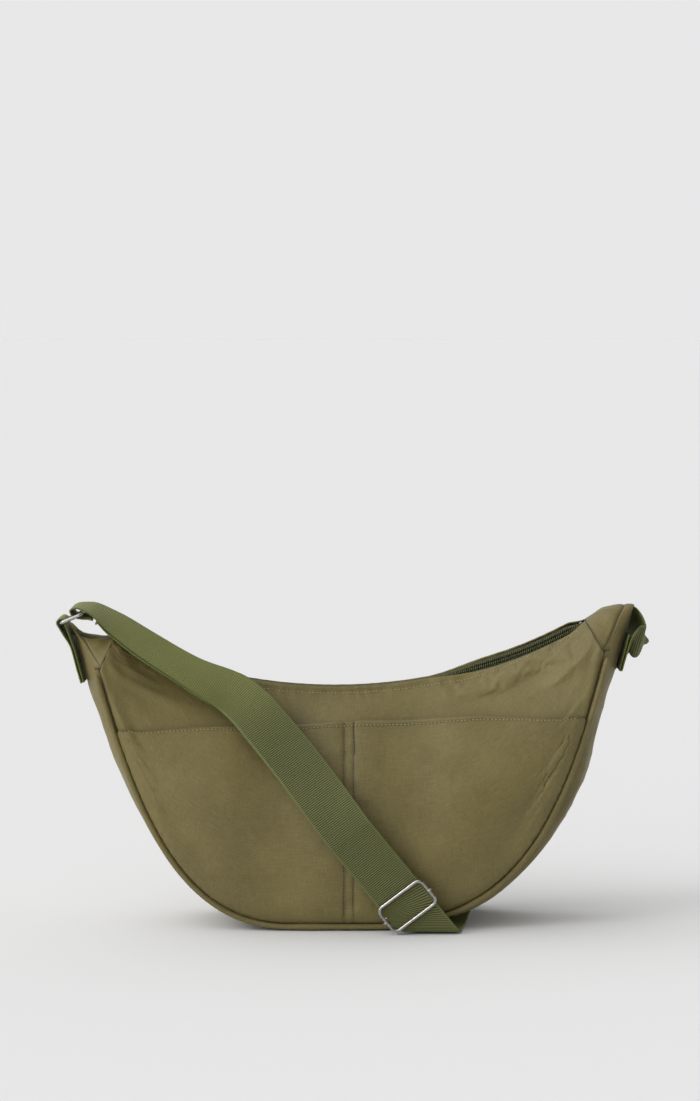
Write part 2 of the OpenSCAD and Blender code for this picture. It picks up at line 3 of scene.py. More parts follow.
import bpy
import numpy as np
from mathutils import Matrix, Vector


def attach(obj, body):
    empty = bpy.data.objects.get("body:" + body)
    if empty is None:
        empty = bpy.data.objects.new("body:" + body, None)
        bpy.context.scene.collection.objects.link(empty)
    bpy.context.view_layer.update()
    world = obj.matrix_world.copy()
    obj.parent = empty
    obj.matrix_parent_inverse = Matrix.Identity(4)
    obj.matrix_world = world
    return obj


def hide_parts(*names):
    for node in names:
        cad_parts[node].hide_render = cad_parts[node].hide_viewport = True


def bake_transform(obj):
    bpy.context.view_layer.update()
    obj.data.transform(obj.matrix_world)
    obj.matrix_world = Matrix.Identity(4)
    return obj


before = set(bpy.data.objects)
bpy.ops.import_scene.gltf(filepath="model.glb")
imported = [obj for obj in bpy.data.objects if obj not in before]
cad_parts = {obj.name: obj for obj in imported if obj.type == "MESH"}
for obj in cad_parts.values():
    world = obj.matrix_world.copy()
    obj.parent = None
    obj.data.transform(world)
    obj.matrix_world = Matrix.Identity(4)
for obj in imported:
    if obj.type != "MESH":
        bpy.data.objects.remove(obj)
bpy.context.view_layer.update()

# ---------------------------------------------------------------- sizes, in millimetres

MM = 0.001
BODY_W = 340
CORNER_H = 175
BASE_D = 80
CORNER_D = 56
BELLY = 14
PEAK_OUT = 18
PEAK_RISE = 29
LEAN = math.radians(1.9)
ZIP_INSET = 12
ZIP_END_RISE = 22
ZIP_DIP = 38.5
ZIP_GAP = 10.4
PIPING_R = 2
SEAM_GAP = 0.3
BASE_LEFT = 42
BASE_RIGHT = 14
FLAT_SHARE = 0.1
POCKET_DROP = 23
POCKET_LIFT = 1
DIVIDER_U = -2 / 120
STRAP_W = 32
STRAP_T = 1.3
RIB_PITCH = 1.34
STITCH = 2.5

ZIP_MID_H = CORNER_H + ZIP_END_RISE - ZIP_DIP
ZIP_HALF = BODY_W / 2 - ZIP_INSET
ZIP_R = (ZIP_HALF ** 2 + ZIP_DIP ** 2) / (2 * ZIP_DIP)
ZIP_ANGLE = math.asin(ZIP_HALF / ZIP_R)
ZIP_CENTRE = (-ZIP_R * math.sin(LEAN), ZIP_MID_H + ZIP_R * math.cos(LEAN))

# ---------------------------------------------------------------- the bag's surfaces


def mix(a, b, t):
    return a + (b - a) * t


def ease(t):
    t = np.clip(t, 0, 1)
    return t * t * (3 - 2 * t)


def bezier(a, b, c, d, t):
    return a * (1 - t) ** 3 + 3 * b * t * (1 - t) ** 2 + 3 * c * t * t * (1 - t) + d * t ** 3


def unit(v):
    return v / np.maximum(np.linalg.norm(v, axis=-1, keepdims=True), 1e-12)


def stack(*parts):
    return np.stack(np.broadcast_arrays(*parts), axis=-1)


def bell(x, width):
    return np.exp(-((x / width) ** 2))


def leaned(x, z):
    return x, z * (1 + x * math.tan(LEAN) / ZIP_MID_H)


def seam(u):
    s = np.abs(u)
    start = np.where(u < 0, BASE_LEFT, BASE_RIGHT)
    t = (s - FLAT_SHARE) / (1 - FLAT_SHARE)
    x = np.where(s < FLAT_SHARE, start * s / FLAT_SHARE, bezier(start, 115, 143, BODY_W / 2, t))
    z = np.where(s < FLAT_SHARE, 0, bezier(0, 0, 75, CORNER_H, t))
    x, z = leaned(np.where(u < 0, -x, x), z)
    return x, z + PIPING_R


def seam_normal(u):
    x0, z0 = seam(np.maximum(-1, u - 0.004))
    x1, z1 = seam(np.minimum(1, u + 0.004))
    length = np.hypot(x1 - x0, z1 - z0)
    return (z1 - z0) / length, -(x1 - x0) / length


def half_depth(u):
    return mix(BASE_D, CORNER_D, ease(np.abs(u))) / 2


def zip_point(u):
    a = LEAN + u * ZIP_ANGLE
    return ZIP_CENTRE[0] + ZIP_R * np.sin(a), ZIP_CENTRE[1] - ZIP_R * np.cos(a)


def zip_roll(u):
    """How far the zip leans to the front, in radians: it shows over the front edge near its right end."""
    return math.radians(46) * ease((u - 0.3) / 0.28) * ease((1.0 - u) / 0.1)


def zip_wave(u):
    """The zip's soft sideways wave where it shows."""
    return 1.1 * np.sin((u - 0.4) * 15) * ease((u - 0.3) / 0.15) * ease((1 - u) / 0.1)


def panel(u, v, side):
    """A point of the front (side -1) or back (side 1) panel: u from corner to corner, v up to the zip."""
    sx, sz = seam(u)
    nx, nz = seam_normal(u)
    tx, tz = zip_point(u)
    low = PIPING_R + SEAM_GAP
    roll = zip_roll(u)
    edge = ZIP_GAP / 2 * np.cos(roll) + side * zip_wave(u)
    top = tz + side * ZIP_GAP / 2 * np.sin(roll)
    y = edge + (half_depth(u) - edge) * np.maximum(0, 1 - np.maximum(v, 0) ** 2.2) ** 0.8
    y = y + BELLY * (1 - np.abs(u) ** 3) * np.sin(math.pi * np.clip(v, 0, 1) ** 0.8)
    return stack(mix(sx - nx * low, tx, v), side * y, mix(sz - nz * low, top, v))


def gusset_face(u, w):
    sx, sz = seam(u)
    nx, nz = seam_normal(u)
    end = ease((np.abs(u) - 0.82) / 0.18)
    side = np.sign(u)
    flat = np.minimum(1, (1 - np.abs(w)) / 0.15)
    across = mix(flat, 1 - w * w, ease(np.abs(u) * 2.5 - 0.3))
    swell = (PIPING_R + 11.5 * np.maximum(0, np.abs(u) - FLAT_SHARE) ** 1.5) * across * (1 - end)
    out = PEAK_OUT * (1 - np.abs(w) ** 1.6) * end
    lift = PEAK_RISE * (1 - np.abs(w) ** 1.8) * end
    y = -w * (half_depth(u) - PIPING_R - SEAM_GAP)
    return stack(sx + nx * swell + side * out, y, sz + nz * swell + lift)


def cap_face(side, w, s):
    ridge = gusset_face(np.full_like(w, side, dtype=float), w)
    tx, tz = zip_point(float(side))
    inner = stack(np.full_like(w, tx, dtype=float), -w * ZIP_GAP / 2, np.full_like(w, tz, dtype=float))
    p = mix(ridge, inner, s[..., None])
    p[..., 2] -= 3 * np.sin(math.pi * s) * (1 - w * w)
    for sign in (-1, 1):
        edge = panel(np.full_like(s, 0.994 * side), s, -sign)
        corner = mix(gusset_face(np.array(float(side)), np.array(float(sign))), edge[0, 0], 0.0)
        straight = mix(corner, np.array([tx, -sign * ZIP_GAP / 2, tz]), s[..., None])
        share = np.clip(sign * w, 0, 1)[..., None] ** 3
        p = p + (edge - straight) * share * np.clip(s * 8, 0, 1)[..., None]
    return p


def normals(p):
    """Unit normals of a grid of points, from its rows and columns."""
    return unit(np.cross(np.gradient(p, axis=0), np.gradient(p, axis=1)))


def mouth_v(u):
    low = panel(u, np.zeros_like(u), -1)
    top = panel(u, np.ones_like(u), -1)
    mouth = leaned(low[..., 0], ZIP_MID_H - POCKET_DROP)[1]
    return (mouth - low[..., 2]) / (top[..., 2] - low[..., 2])


def waves(p, seed, count, long, short):
    """Soft random unevenness from -1 to 1 or so, with wavelengths between two sizes."""
    rng = np.random.default_rng(seed)
    total = np.zeros(p.shape[:-1])
    for _ in range(count):
        way = unit(rng.normal(size=3))
        size = rng.uniform(short, long)
        total += np.sin(p @ way * (2 * math.pi / size) + rng.uniform(0, 2 * math.pi))
    return total / math.sqrt(count)


# ---------------------------------------------------------------- meshes


def make_object(name, points, faces, uv=None, values=None, smooth=True):
    """A mesh object from points in millimetres; uv is per point, in metres along the cloth."""
    mesh = bpy.data.meshes.new(name)
    mesh.from_pydata((np.asarray(points).reshape(-1, 3) * MM).tolist(), [], faces)
    if uv is not None:
        layer = mesh.uv_layers.new(name="cloth")
        index = np.zeros(len(mesh.loops), int)
        mesh.loops.foreach_get("vertex_index", index)
        layer.data.foreach_set("uv", np.asarray(uv).reshape(-1, 2)[index].ravel())
    for key, data in (values or {}).items():
        attribute = mesh.attributes.new(key, "FLOAT", "POINT")
        attribute.data.foreach_set("value", np.asarray(data, np.float32).ravel())
    if smooth:
        mesh.shade_smooth()
    mesh.update()
    obj = bpy.data.objects.new(name, mesh)
    bpy.context.scene.collection.objects.link(obj)
    return obj


def grid_faces(rows, cols, flip=False, wrap=False):
    faces = []
    for i in range(rows - 1):
        for j in range(cols if wrap else cols - 1):
            k = (j + 1) % cols
            face = [i * cols + j, i * cols + k, (i + 1) * cols + k, (i + 1) * cols + j]
            faces.append(face[::-1] if flip else face)
    return faces


def arc_uv(p):
    """Distances along the cloth in metres, down the rows and across them from the middle."""
    rows = np.concatenate([[0], np.cumsum(np.linalg.norm(np.diff(p[:, p.shape[1] // 2], axis=0), axis=-1))])
    cols = np.cumsum(np.linalg.norm(np.diff(p, axis=1, prepend=p[:, :1]), axis=-1), axis=1)
    cols = cols - cols[:, -1:] / 2
    return np.stack([np.repeat(rows[:, None], p.shape[1], 1), cols], -1) * MM


def cloth_object(name, p, thickness, flip=False, values=None):
    """A skin of cloth: its outer face is the grid p, and it is thick towards the inside."""
    obj = make_object(name, p, grid_faces(p.shape[0], p.shape[1], not flip), arc_uv(p), values)
    solid = obj.modifiers.new("thickness", "SOLIDIFY")
    solid.thickness = thickness * MM
    solid.offset = -1
    apply_modifiers(obj)
    return obj


def turn_outward(obj):
    """Makes a closed mesh's faces look outward."""
    mesh = obj.data
    mesh.calc_loop_triangles()
    corners = np.zeros(len(mesh.loop_triangles) * 3, int)
    mesh.loop_triangles.foreach_get("vertices", corners)
    points = np.zeros(len(mesh.vertices) * 3)
    mesh.vertices.foreach_get("co", points)
    t = points.reshape(-1, 3)[corners.reshape(-1, 3)]
    if np.einsum("ij,ij->", t[:, 0], np.cross(t[:, 1], t[:, 2])) < 0:
        mesh.flip_normals()
    return obj


def apply_modifiers(obj):
    evaluated = obj.evaluated_get(bpy.context.evaluated_depsgraph_get())
    mesh = bpy.data.meshes.new_from_object(evaluated)
    obj.modifiers.clear()
    obj.data = mesh


def finish_piece(obj, material, body, stands_for=()):
    obj.data.materials.clear()
    obj.data.materials.append(material)
    obj.data.polygons.foreach_set("material_index", np.zeros(len(obj.data.polygons), int))
    if body:
        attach(obj, body)
    if stands_for:
        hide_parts(*stands_for)
    return obj


def resample(data, rows, cols):
    """Smoothly reads a grid of values at finer steps; rows and cols are fractional indices."""
    out = data
    for axis, index in ((0, rows), (1, cols)):
        out = np.moveaxis(out, axis, 0)
        i = np.clip(np.floor(index).astype(int), 0, out.shape[0] - 2)
        t = (index - i).reshape((-1,) + (1,) * (out.ndim - 1))
        a = out[np.maximum(i - 1, 0)]
        b = out[i]
        c = out[i + 1]
        d = out[np.minimum(i + 2, out.shape[0] - 1)]
        out = 0.5 * (2 * b + (c - a) * t + (2 * a - 5 * b + 4 * c - d) * t * t + (3 * b - a - 3 * c + d) * t ** 3)
        out = np.moveaxis(out, 0, axis)
    return out


CLOTH_FRAMES = 20


def crumple(name, p, slack, pressure, bending, inward, outward):
    """Cloth simulation of a slack panel held at its seams and filled from inside: how far each point moves."""
    rows, cols = p.shape[:2]
    obj = make_object(name, p, grid_faces(rows, cols))
    held = obj.vertex_groups.new(name="seams")
    index = np.arange(rows * cols).reshape(rows, cols)
    edge = np.unique(np.concatenate([index[0], index[-1], index[:, 0], index[:, -1]]))
    held.add(edge.tolist(), 1.0, "REPLACE")
    cloth = obj.modifiers.new("cloth", "CLOTH")
    settings = cloth.settings
    settings.quality = 5
    settings.mass = 0.02
    settings.air_damping = 4
    settings.tension_stiffness = 12
    settings.compression_stiffness = 12
    settings.shear_stiffness = 4
    settings.bending_stiffness = bending
    settings.vertex_group_mass = "seams"
    settings.shrink_min = -slack
    settings.use_pressure = True
    settings.uniform_pressure_force = pressure
    settings.effector_weights.gravity = 0
    cloth.collision_settings.use_collision = False
    cloth.point_cache.frame_end = CLOTH_FRAMES
    for step in range(1, CLOTH_FRAMES + 1):
        bpy.context.scene.frame_set(step)
    evaluated = obj.evaluated_get(bpy.context.evaluated_depsgraph_get())
    moved = np.zeros(rows * cols * 3)
    evaluated.data.vertices.foreach_get("co", moved)
    moved = moved.reshape(p.shape) / MM - p
    bpy.data.objects.remove(obj)
    bpy.context.scene.frame_set(1)
    n = normals(p)
    along = np.sum(moved * n, axis=-1, keepdims=True)
    across = moved - n * along
    capped = np.where(along > 0, outward * np.tanh(along / outward), inward * np.tanh(along / inward))
    size = np.linalg.norm(across, axis=-1, keepdims=True)
    return n * capped + across * np.minimum(1, 1.5 / np.maximum(size, 1e-6))


# ---------------------------------------------------------------- shader maths


class Graph:
    """Adds nodes to one material and joins them."""

    def __init__(self, name):
        self.material = bpy.data.materials.new(name)
        self.material.use_nodes = True
        self.tree = self.material.node_tree
        self.tree.nodes.clear()
        self.output = self.tree.nodes.new("ShaderNodeOutputMaterial")

    def node(self, kind, settings=None, values=None, out=0):
        node = self.tree.nodes.new(kind)
        for key, value in (settings or {}).items():
            setattr(node, key, value)
        for key, value in (values or {}).items():
            self.put(node.inputs[key], value)
        return Signal(self, node.outputs[out])

    def put(self, socket, value):
        if isinstance(value, Signal):
            self.tree.links.new(value.socket, socket)
        else:
            socket.default_value = value

    def uv(self):
        return self.node("ShaderNodeTexCoord", out="UV")

    def place(self):
        return self.node("ShaderNodeTexCoord", out="Object")

    def value(self, name):
        return self.node("ShaderNodeAttribute", {"attribute_name": name}, out="Fac")

    def noise(self, vector, scale, detail=3.0, rough=0.5):
        values = {"Vector": vector, "Scale": scale, "Detail": detail, "Roughness": rough}
        return self.node("ShaderNodeTexNoise", None, values, "Fac")

    def stretched(self, vector, scale):
        return self.node("ShaderNodeMapping", None, {"Vector": vector, "Scale": scale})

    def ramp(self, signal, low, high):
        values = {"Value": signal, "From Min": low, "From Max": high}
        return self.node("ShaderNodeMapRange", {"clamp": True}, values)

    def tint(self, factor, a, b, blend="MIX"):
        node = self.tree.nodes.new("ShaderNodeMix")
        node.data_type = "RGBA"
        node.blend_type = blend
        self.put(node.inputs[0], factor)
        self.put(node.inputs[6], a if isinstance(a, Signal) else (*a, 1))
        self.put(node.inputs[7], b if isinstance(b, Signal) else (*b, 1))
        return Signal(self, node.outputs[2])

    def bump(self, height, depth, strength=1.0, normal=None):
        values = {"Height": height, "Distance": depth, "Strength": strength}
        if normal is not None:
            values["Normal"] = normal
        return self.node("ShaderNodeBump", None, values)

    def surface(self, **inputs):
        node = self.tree.nodes.new("ShaderNodeBsdfPrincipled")
        for key, value in inputs.items():
            if isinstance(value, tuple) and len(value) == 3:
                value = (*value, 1)
            self.put(node.inputs[key.replace("_", " ")], value)
        self.tree.links.new(node.outputs[0], self.output.inputs[0])
        return self.material


class Signal:
    """A value in a material; arithmetic on it adds maths nodes."""

    def __init__(self, graph, socket):
        self.graph = graph
        self.socket = socket

    def math(self, kind, a, b=0.0, c=0.0):
        return self.graph.node("ShaderNodeMath", {"operation": kind}, {0: a, 1: b, 2: c})

    def __add__(self, other):
        return self.math("ADD", self, other)

    def __radd__(self, other):
        return self.math("ADD", other, self)

    def __sub__(self, other):
        return self.math("SUBTRACT", self, other)

    def __rsub__(self, other):
        return self.math("SUBTRACT", other, self)

    def __mul__(self, other):
        return self.math("MULTIPLY", self, other)

    def __rmul__(self, other):
        return self.math("MULTIPLY", other, self)

    def __truediv__(self, other):
        return self.math("DIVIDE", self, other)

    def sine(self):
        return self.math("SINE", self)

    def part(self, index):
        node = self.graph.tree.nodes.new("ShaderNodeSeparateXYZ")
        self.graph.put(node.inputs[0], self)
        return Signal(self.graph, node.outputs[index])


TURN = 2 * math.pi


def woven(g, uv, pitch):
    """Height of a plain weave, from 0 to 1, with threads of the given pitch in metres."""
    warp = (uv.part(0) * (TURN / pitch)).sine()
    weft = (uv.part(1) * (TURN / pitch)).sine()
    return warp * weft * 0.5 + 0.5


def cloth_material(name, dark, light, pitch, shine, roughness):
    g = Graph(name)
    uv = g.uv()
    place = g.place()
    weave = woven(g, uv, pitch)
    broad = g.ramp(g.noise(place, 9, 4), 0.3, 0.7)
    slubs = g.ramp(g.noise(g.stretched(uv, (110, 1500, 1)), 1, 2), 0.35, 0.7)
    slubs2 = g.ramp(g.noise(g.stretched(uv, (1500, 110, 1)), 1, 2), 0.35, 0.7)
    speck = g.ramp(g.noise(uv, 900, 3, 0.7), 0.36, 0.64)
    mottle = g.ramp(g.noise(place, 34, 4, 0.6), 0.32, 0.68)
    creases = g.noise(place, 75, 5, 0.6)
    shade = g.value("shade")
    amount = broad * 0.3 + weave * 0.1 + slubs * 0.24 + slubs2 * 0.18 + speck * 0.24 + mottle * 0.2 - 0.12
    colour = g.tint(amount, dark, light)
    colour = g.tint(shade * 0.86, colour, tuple(c * 0.12 for c in dark))
    height = weave * 0.35 + slubs * 0.35 + slubs2 * 0.3
    fine = g.bump(height, 0.00012, 0.55)
    normal = g.bump(creases, 0.0014, 0.4, fine)
    rough = g.ramp(g.noise(place, 40, 3), 0, 1) * 0.14 + roughness
    return g.surface(
        Base_Color=colour,
        Roughness=rough,
        Normal=normal,
        Sheen_Weight=shine,
        Sheen_Roughness=0.35,
        Sheen_Tint=(0.9, 0.86, 0.66),
        Specular_IOR_Level=0.42,
    )


def webbing_material():
    g = Graph("ribbed_webbing")
    uv = g.uv()
    place = g.place()
    rib = g.value("rib")
    edge = g.value("edge")
    yarn = (uv.part(1) * (TURN / 0.0011)).sine() * 0.5 + 0.5
    heather = g.ramp(g.noise(g.stretched(uv, (5200, 1300, 1)), 1, 3, 0.6), 0.3, 0.72)
    broad = g.ramp(g.noise(place, 22, 3), 0.3, 0.7)
    # The near-black low colour is painted shade in the grooves between the ribs. The rib attribute that mixes it in
    # also lightens the strap's top run as painted light.
    low = g.tint(heather, (0.008, 0.012, 0.002), (0.02, 0.028, 0.005))
    high = g.tint(heather * 0.6 + yarn * 0.25 + broad * 0.2, (0.14, 0.154, 0.03), (0.3, 0.312, 0.085))
    colour = g.tint(rib, low, high)
    selvedge = g.tint(heather, (0.085, 0.1, 0.02), (0.165, 0.185, 0.044))
    colour = g.tint(edge, colour, selvedge)
    normal = g.bump(yarn * 0.6 + heather * 0.5, 0.0002, 0.6)
    return g.surface(
        Base_Color=colour,
        Roughness=g.ramp(heather, 0, 1) * 0.12 + 0.6,
        Normal=normal,
        Sheen_Weight=0.12,
        Sheen_Roughness=0.4,
        Sheen_Tint=(0.7, 0.85, 0.45),
    )


def thread_material(name, dark, light):
    g = Graph(name)
    place = g.place()
    ply = g.noise(g.stretched(place, (2600, 2600, 2600)), 1, 2)
    colour = g.tint(g.ramp(ply, 0.3, 0.7), dark, light)
    return g.surface(Base_Color=colour, Roughness=0.62, Normal=g.bump(ply, 0.0001, 0.6), Sheen_Weight=0.1)


def coil_material():
    g = Graph("nylon_coil")
    place = g.place()
    change = g.ramp(g.noise(place, 220, 3), 0.3, 0.7)
    colour = g.tint(change, (0.055, 0.06, 0.022), (0.115, 0.118, 0.05))
    return g.surface(Base_Color=colour, Roughness=change * 0.12 + 0.3, Normal=g.bump(change, 0.00008, 0.4))


def metal_material():
    g = Graph("polished_nickel")
    place = g.place()
    scratches = g.ramp(g.noise(g.stretched(place, (260, 5200, 5200)), 1, 4, 0.7), 0.45, 0.72)
    haze = g.ramp(g.noise(place, 420, 4), 0.35, 0.75)
    colour = g.tint(haze, (0.36, 0.345, 0.325), (0.5, 0.485, 0.46))
    return g.surface(
        Base_Color=colour,
        Metallic=1.0,
        Roughness=scratches * 0.12 + haze * 0.08 + 0.2,
        Normal=g.bump(scratches + haze * 0.4, 0.00005, 0.35),
    )


FLOOR_SHADE = 0.79


def floor_material():
    g = Graph("studio_floor")
    place = g.place()
    grain = g.noise(place, 30, 2)
    low = FLOOR_SHADE * 0.997
    high = FLOOR_SHADE * 1.003
    colour = g.tint(grain, (low, low, low), (high, high, high))
    return g.surface(Base_Color=colour, Roughness=1.0, Specular_IOR_Level=0.0)


BAG_DARK = (0.098, 0.078, 0.023)
BAG_LIGHT = (0.228, 0.184, 0.062)
bag_cloth = cloth_material("olive_nylon", BAG_DARK, BAG_LIGHT, 0.00042, 0.16, 0.5)
lining_cloth = cloth_material("lining", (0.06, 0.055, 0.03), (0.11, 0.1, 0.06), 0.0005, 0.05, 0.7)
tape_cloth = cloth_material("zip_tape_cloth", (0.05, 0.052, 0.018), (0.1, 0.1, 0.04), 0.0006, 0.08, 0.65)
webbing = webbing_material()
bag_thread = thread_material("bag_thread", (0.24, 0.2, 0.085), (0.44, 0.37, 0.19))
dark_thread = thread_material("dark_thread", (0.035, 0.027, 0.012), (0.085, 0.066, 0.03))
strap_thread = thread_material("strap_thread", (0.06, 0.075, 0.02), (0.13, 0.15, 0.05))
coil_plastic = coil_material()
nickel = metal_material()

# ---------------------------------------------------------------- repeated small shapes


def repeat_tree():
    """Geometry nodes: one small rounded shape at each point, turned to the point's own directions."""
    tree = bpy.data.node_groups.new("repeat_shape", "GeometryNodeTree")
    face = tree.interface
    face.new_socket("Geometry", in_out="INPUT", socket_type="NodeSocketGeometry")
    for name, kind in (
        ("Size", "NodeSocketVector"),
        ("Unevenness", "NodeSocketFloat"),
        ("Seed", "NodeSocketInt"),
        ("Material", "NodeSocketMaterial"),
    ):
        face.new_socket(name, in_out="INPUT", socket_type=kind)
    face.new_socket("Geometry", in_out="OUTPUT", socket_type="NodeSocketGeometry")

    def add(kind, **settings):
        node = tree.nodes.new(kind)
        for key, value in settings.items():
            setattr(node, key, value)
        return node

    def join(a, b):
        tree.links.new(a, b)

    start = add("NodeGroupInput")
    end = add("NodeGroupOutput")
    points = add("GeometryNodeMeshToPoints")
    join(start.outputs["Geometry"], points.inputs["Mesh"])
    shape = add("GeometryNodeMeshUVSphere")
    shape.inputs["Segments"].default_value = 8
    shape.inputs["Rings"].default_value = 5
    shape.inputs["Radius"].default_value = 0.5
    run = add("GeometryNodeInputNamedAttribute", data_type="FLOAT_VECTOR")
    run.inputs["Name"].default_value = "run"
    face_way = add("GeometryNodeInputNamedAttribute", data_type="FLOAT_VECTOR")
    face_way.inputs["Name"].default_value = "face"
    turn = add("FunctionNodeAxesToRotation", primary_axis="X", secondary_axis="Z")
    join(run.outputs["Attribute"], turn.inputs["Primary Axis"])
    join(face_way.outputs["Attribute"], turn.inputs["Secondary Axis"])
    wobble = add("FunctionNodeRandomValue", data_type="FLOAT_VECTOR")
    less = add("ShaderNodeMath", operation="SUBTRACT")
    less.inputs[0].default_value = 1.0
    join(start.outputs["Unevenness"], less.inputs[1])
    more = add("ShaderNodeMath", operation="ADD")
    more.inputs[0].default_value = 1.0
    join(start.outputs["Unevenness"], more.inputs[1])
    join(less.outputs[0], wobble.inputs[0])
    join(more.outputs[0], wobble.inputs[1])
    join(start.outputs["Seed"], wobble.inputs["Seed"])
    scale = add("ShaderNodeVectorMath", operation="MULTIPLY")
    join(start.outputs["Size"], scale.inputs[0])
    join(wobble.outputs[0], scale.inputs[1])
    place = add("GeometryNodeInstanceOnPoints")
    join(points.outputs["Points"], place.inputs["Points"])
    join(shape.outputs["Mesh"], place.inputs["Instance"])
    join(turn.outputs[0], place.inputs["Rotation"])
    join(scale.outputs[0], place.inputs["Scale"])
    real = add("GeometryNodeRealizeInstances")
    join(place.outputs["Instances"], real.inputs["Geometry"])
    smooth = add("GeometryNodeSetShadeSmooth")
    join(real.outputs["Geometry"], smooth.inputs[0])
    paint = add("GeometryNodeSetMaterial")
    join(smooth.outputs[0], paint.inputs["Geometry"])
    join(start.outputs["Material"], paint.inputs["Material"])
    join(paint.outputs["Geometry"], end.inputs["Geometry"])
    return tree


REPEAT = repeat_tree()
REPEAT_INPUTS = {i.name: i.identifier for i in REPEAT.interface.items_tree if i.in_out == "INPUT"}


def repeated(name, points, run, face, size, material, body, uneven=0.12, seed=1, stands_for=()):
    """Small rounded pieces at each point, size in millimetres along, across and out of the face."""
    obj = make_object(name, points, [], smooth=False)
    for key, data in (("run", run), ("face", face)):
        attribute = obj.data.attributes.new(key, "FLOAT_VECTOR", "POINT")
        attribute.data.foreach_set("vector", np.asarray(data, np.float32).ravel())
    modifier = obj.modifiers.new("repeat", "NODES")
    modifier.node_group = REPEAT
    modifier[REPEAT_INPUTS["Size"]] = [s * MM for s in size]
    modifier[REPEAT_INPUTS["Unevenness"]] = uneven
    modifier[REPEAT_INPUTS["Seed"]] = seed
    modifier[REPEAT_INPUTS["Material"]] = material
    apply_modifiers(obj)
    return finish_piece(obj, material, body, stands_for)


def along_line(p, pitch):
    """Evenly spaced points and directions along a line of points."""
    length = np.concatenate([[0], np.cumsum(np.linalg.norm(np.diff(p, axis=0), axis=-1))])
    count = max(2, int(length[-1] / pitch))
    at = (np.arange(count) + 0.5) * length[-1] / count
    q = np.stack([np.interp(at, length, p[:, k]) for k in range(3)], -1)
    ahead = np.stack([np.interp(at + pitch * 0.3, length, p[:, k]) for k in range(3)], -1)
    behind = np.stack([np.interp(at - pitch * 0.3, length, p[:, k]) for k in range(3)], -1)
    return q, unit(ahead - behind)


def stitched(name, line, out, material, body, seed=1, lift=0.12, gap=0.72):
    """A row of stitches along a line lying on a surface whose outward directions are out."""
    q, run = along_line(line, STITCH)
    nearest = np.argmin(np.linalg.norm(q[:, None] - line[None], axis=-1), axis=1)
    face = unit(out[nearest])
    size = (STITCH * gap, 0.55, 0.5)
    return repeated(name, q + face * lift, run, face, size, material, body, 0.1, seed)


# ---------------------------------------------------------------- front and back panels

SIM_ROWS = 110
SIM_COLS = 46
FINE_ROWS = 300
FINE_COLS = 130
EDGE_U = 0.993
TOP_V = 0.995


def panel_grid(rows, cols, side):
    u = np.linspace(-EDGE_U, EDGE_U, rows)[:, None]
    v = np.linspace(0, TOP_V, cols)[None, :]
    u, v = np.broadcast_arrays(u, v)
    return u, v, panel(u * -side, v, side)


def tucked(p, depth, toward):
    """Adds a seam allowance: one more column turned in towards the inside of the bag."""
    inner = p[:, :1] + toward * depth
    return np.concatenate([inner, p], axis=1)


u0, v0, coarse_front = panel_grid(SIM_ROWS, SIM_COLS, -1)
_, _, coarse_back = panel_grid(SIM_ROWS, SIM_COLS, 1)
moved_front = crumple("front_cloth", coarse_front, 0.018, 2.2, 0.06, 3.2, 1.6)
moved_back = crumple("back_cloth", coarse_back, 0.022, 2.0, 0.05, 3.2, 1.6)


def panel_marks(u, v, p, seed):
    """Puckers, folds and dents of a filled panel, in millimetres out of its face."""
    low = bell(v, 0.07)
    sides = ease((np.abs(u) - 0.25) / 0.5)
    arc = u * 300
    pucker = np.sin(arc * TURN / 9 + 3 * waves(p, seed, 4, 60, 25)) * 0.14 * low * (0.4 + sides)
    fold = waves(p * np.array([1, 1, 0.25]), seed + 1, 7, 120, 45) * 0.75
    dent = waves(p, seed + 2, 8, 150, 60) * 1.5
    crease = np.abs(waves(p * np.array([1, 1, 0.5]), seed + 3, 5, 60, 24)) ** 0.6 * -0.45
    inner = ease(v / 0.16) * ease((1 - v) / 0.1) * ease((1 - np.abs(u)) / 0.08)
    corner = ease((np.abs(u) - 0.7) / 0.25) * ease(v / 0.2) * ease((1 - v) / 0.2)
    radial = np.sin(v * 15 + 3 * waves(p, seed + 4, 3, 90, 50)) * 0.3 * corner
    top = bell(1 - v, 0.06) * ease((1 - v) / 0.012)
    ripple = np.sin(arc * TURN / 17 + 4 * waves(p, seed + 5, 4, 70, 30)) * 0.14 * top
    return pucker + (fold + dent + crease) * inner + radial + ripple


def shaped_panel(side, moved, seed):
    u, v, p = panel_grid(FINE_ROWS, FINE_COLS, side)
    rows = np.linspace(0, SIM_ROWS - 1, FINE_ROWS)
    cols = np.linspace(0, SIM_COLS - 1, FINE_COLS)
    n = normals(p)
    reach = np.linalg.norm(p - p[:, :1], axis=-1)
    held = ease(reach / 26)[..., None]
    shaped = p + resample(moved, rows, cols) * held + n * panel_marks(u, v, p, seed)[..., None]
    shaped[..., 1] -= side * 2.4 * bell(reach, 1.7)
    return u, v, shaped


u_front, v_front, front = shaped_panel(-1, moved_front, 3)
u_back, v_back, back = shaped_panel(1, moved_back, 17)


def on_front(u, v):
    """The shaped front panel at any u and v, and which way it faces."""
    rows = (np.asarray(u) / EDGE_U + 1) / 2 * (FINE_ROWS - 1)
    cols = np.asarray(v) / TOP_V * (FINE_COLS - 1)
    return sample(front, rows, cols), unit(sample(normals(front), rows, cols))


def sample(data, rows, cols):
    """Reads a grid at scattered fractional places, straight between its points."""
    rows = np.clip(rows, 0, data.shape[0] - 1.001)
    cols = np.clip(cols, 0, data.shape[1] - 1.001)
    i = rows.astype(int)
    j = cols.astype(int)
    a = (rows - i)[..., None]
    b = (cols - j)[..., None]
    low = data[i, j] * (1 - b) + data[i, j + 1] * b
    high = data[i + 1, j] * (1 - b) + data[i + 1, j + 1] * b
    return low * (1 - a) + high * a


CLOTH_T = 0.8
inward_front = np.array([0.0, 5.0, 0.0])


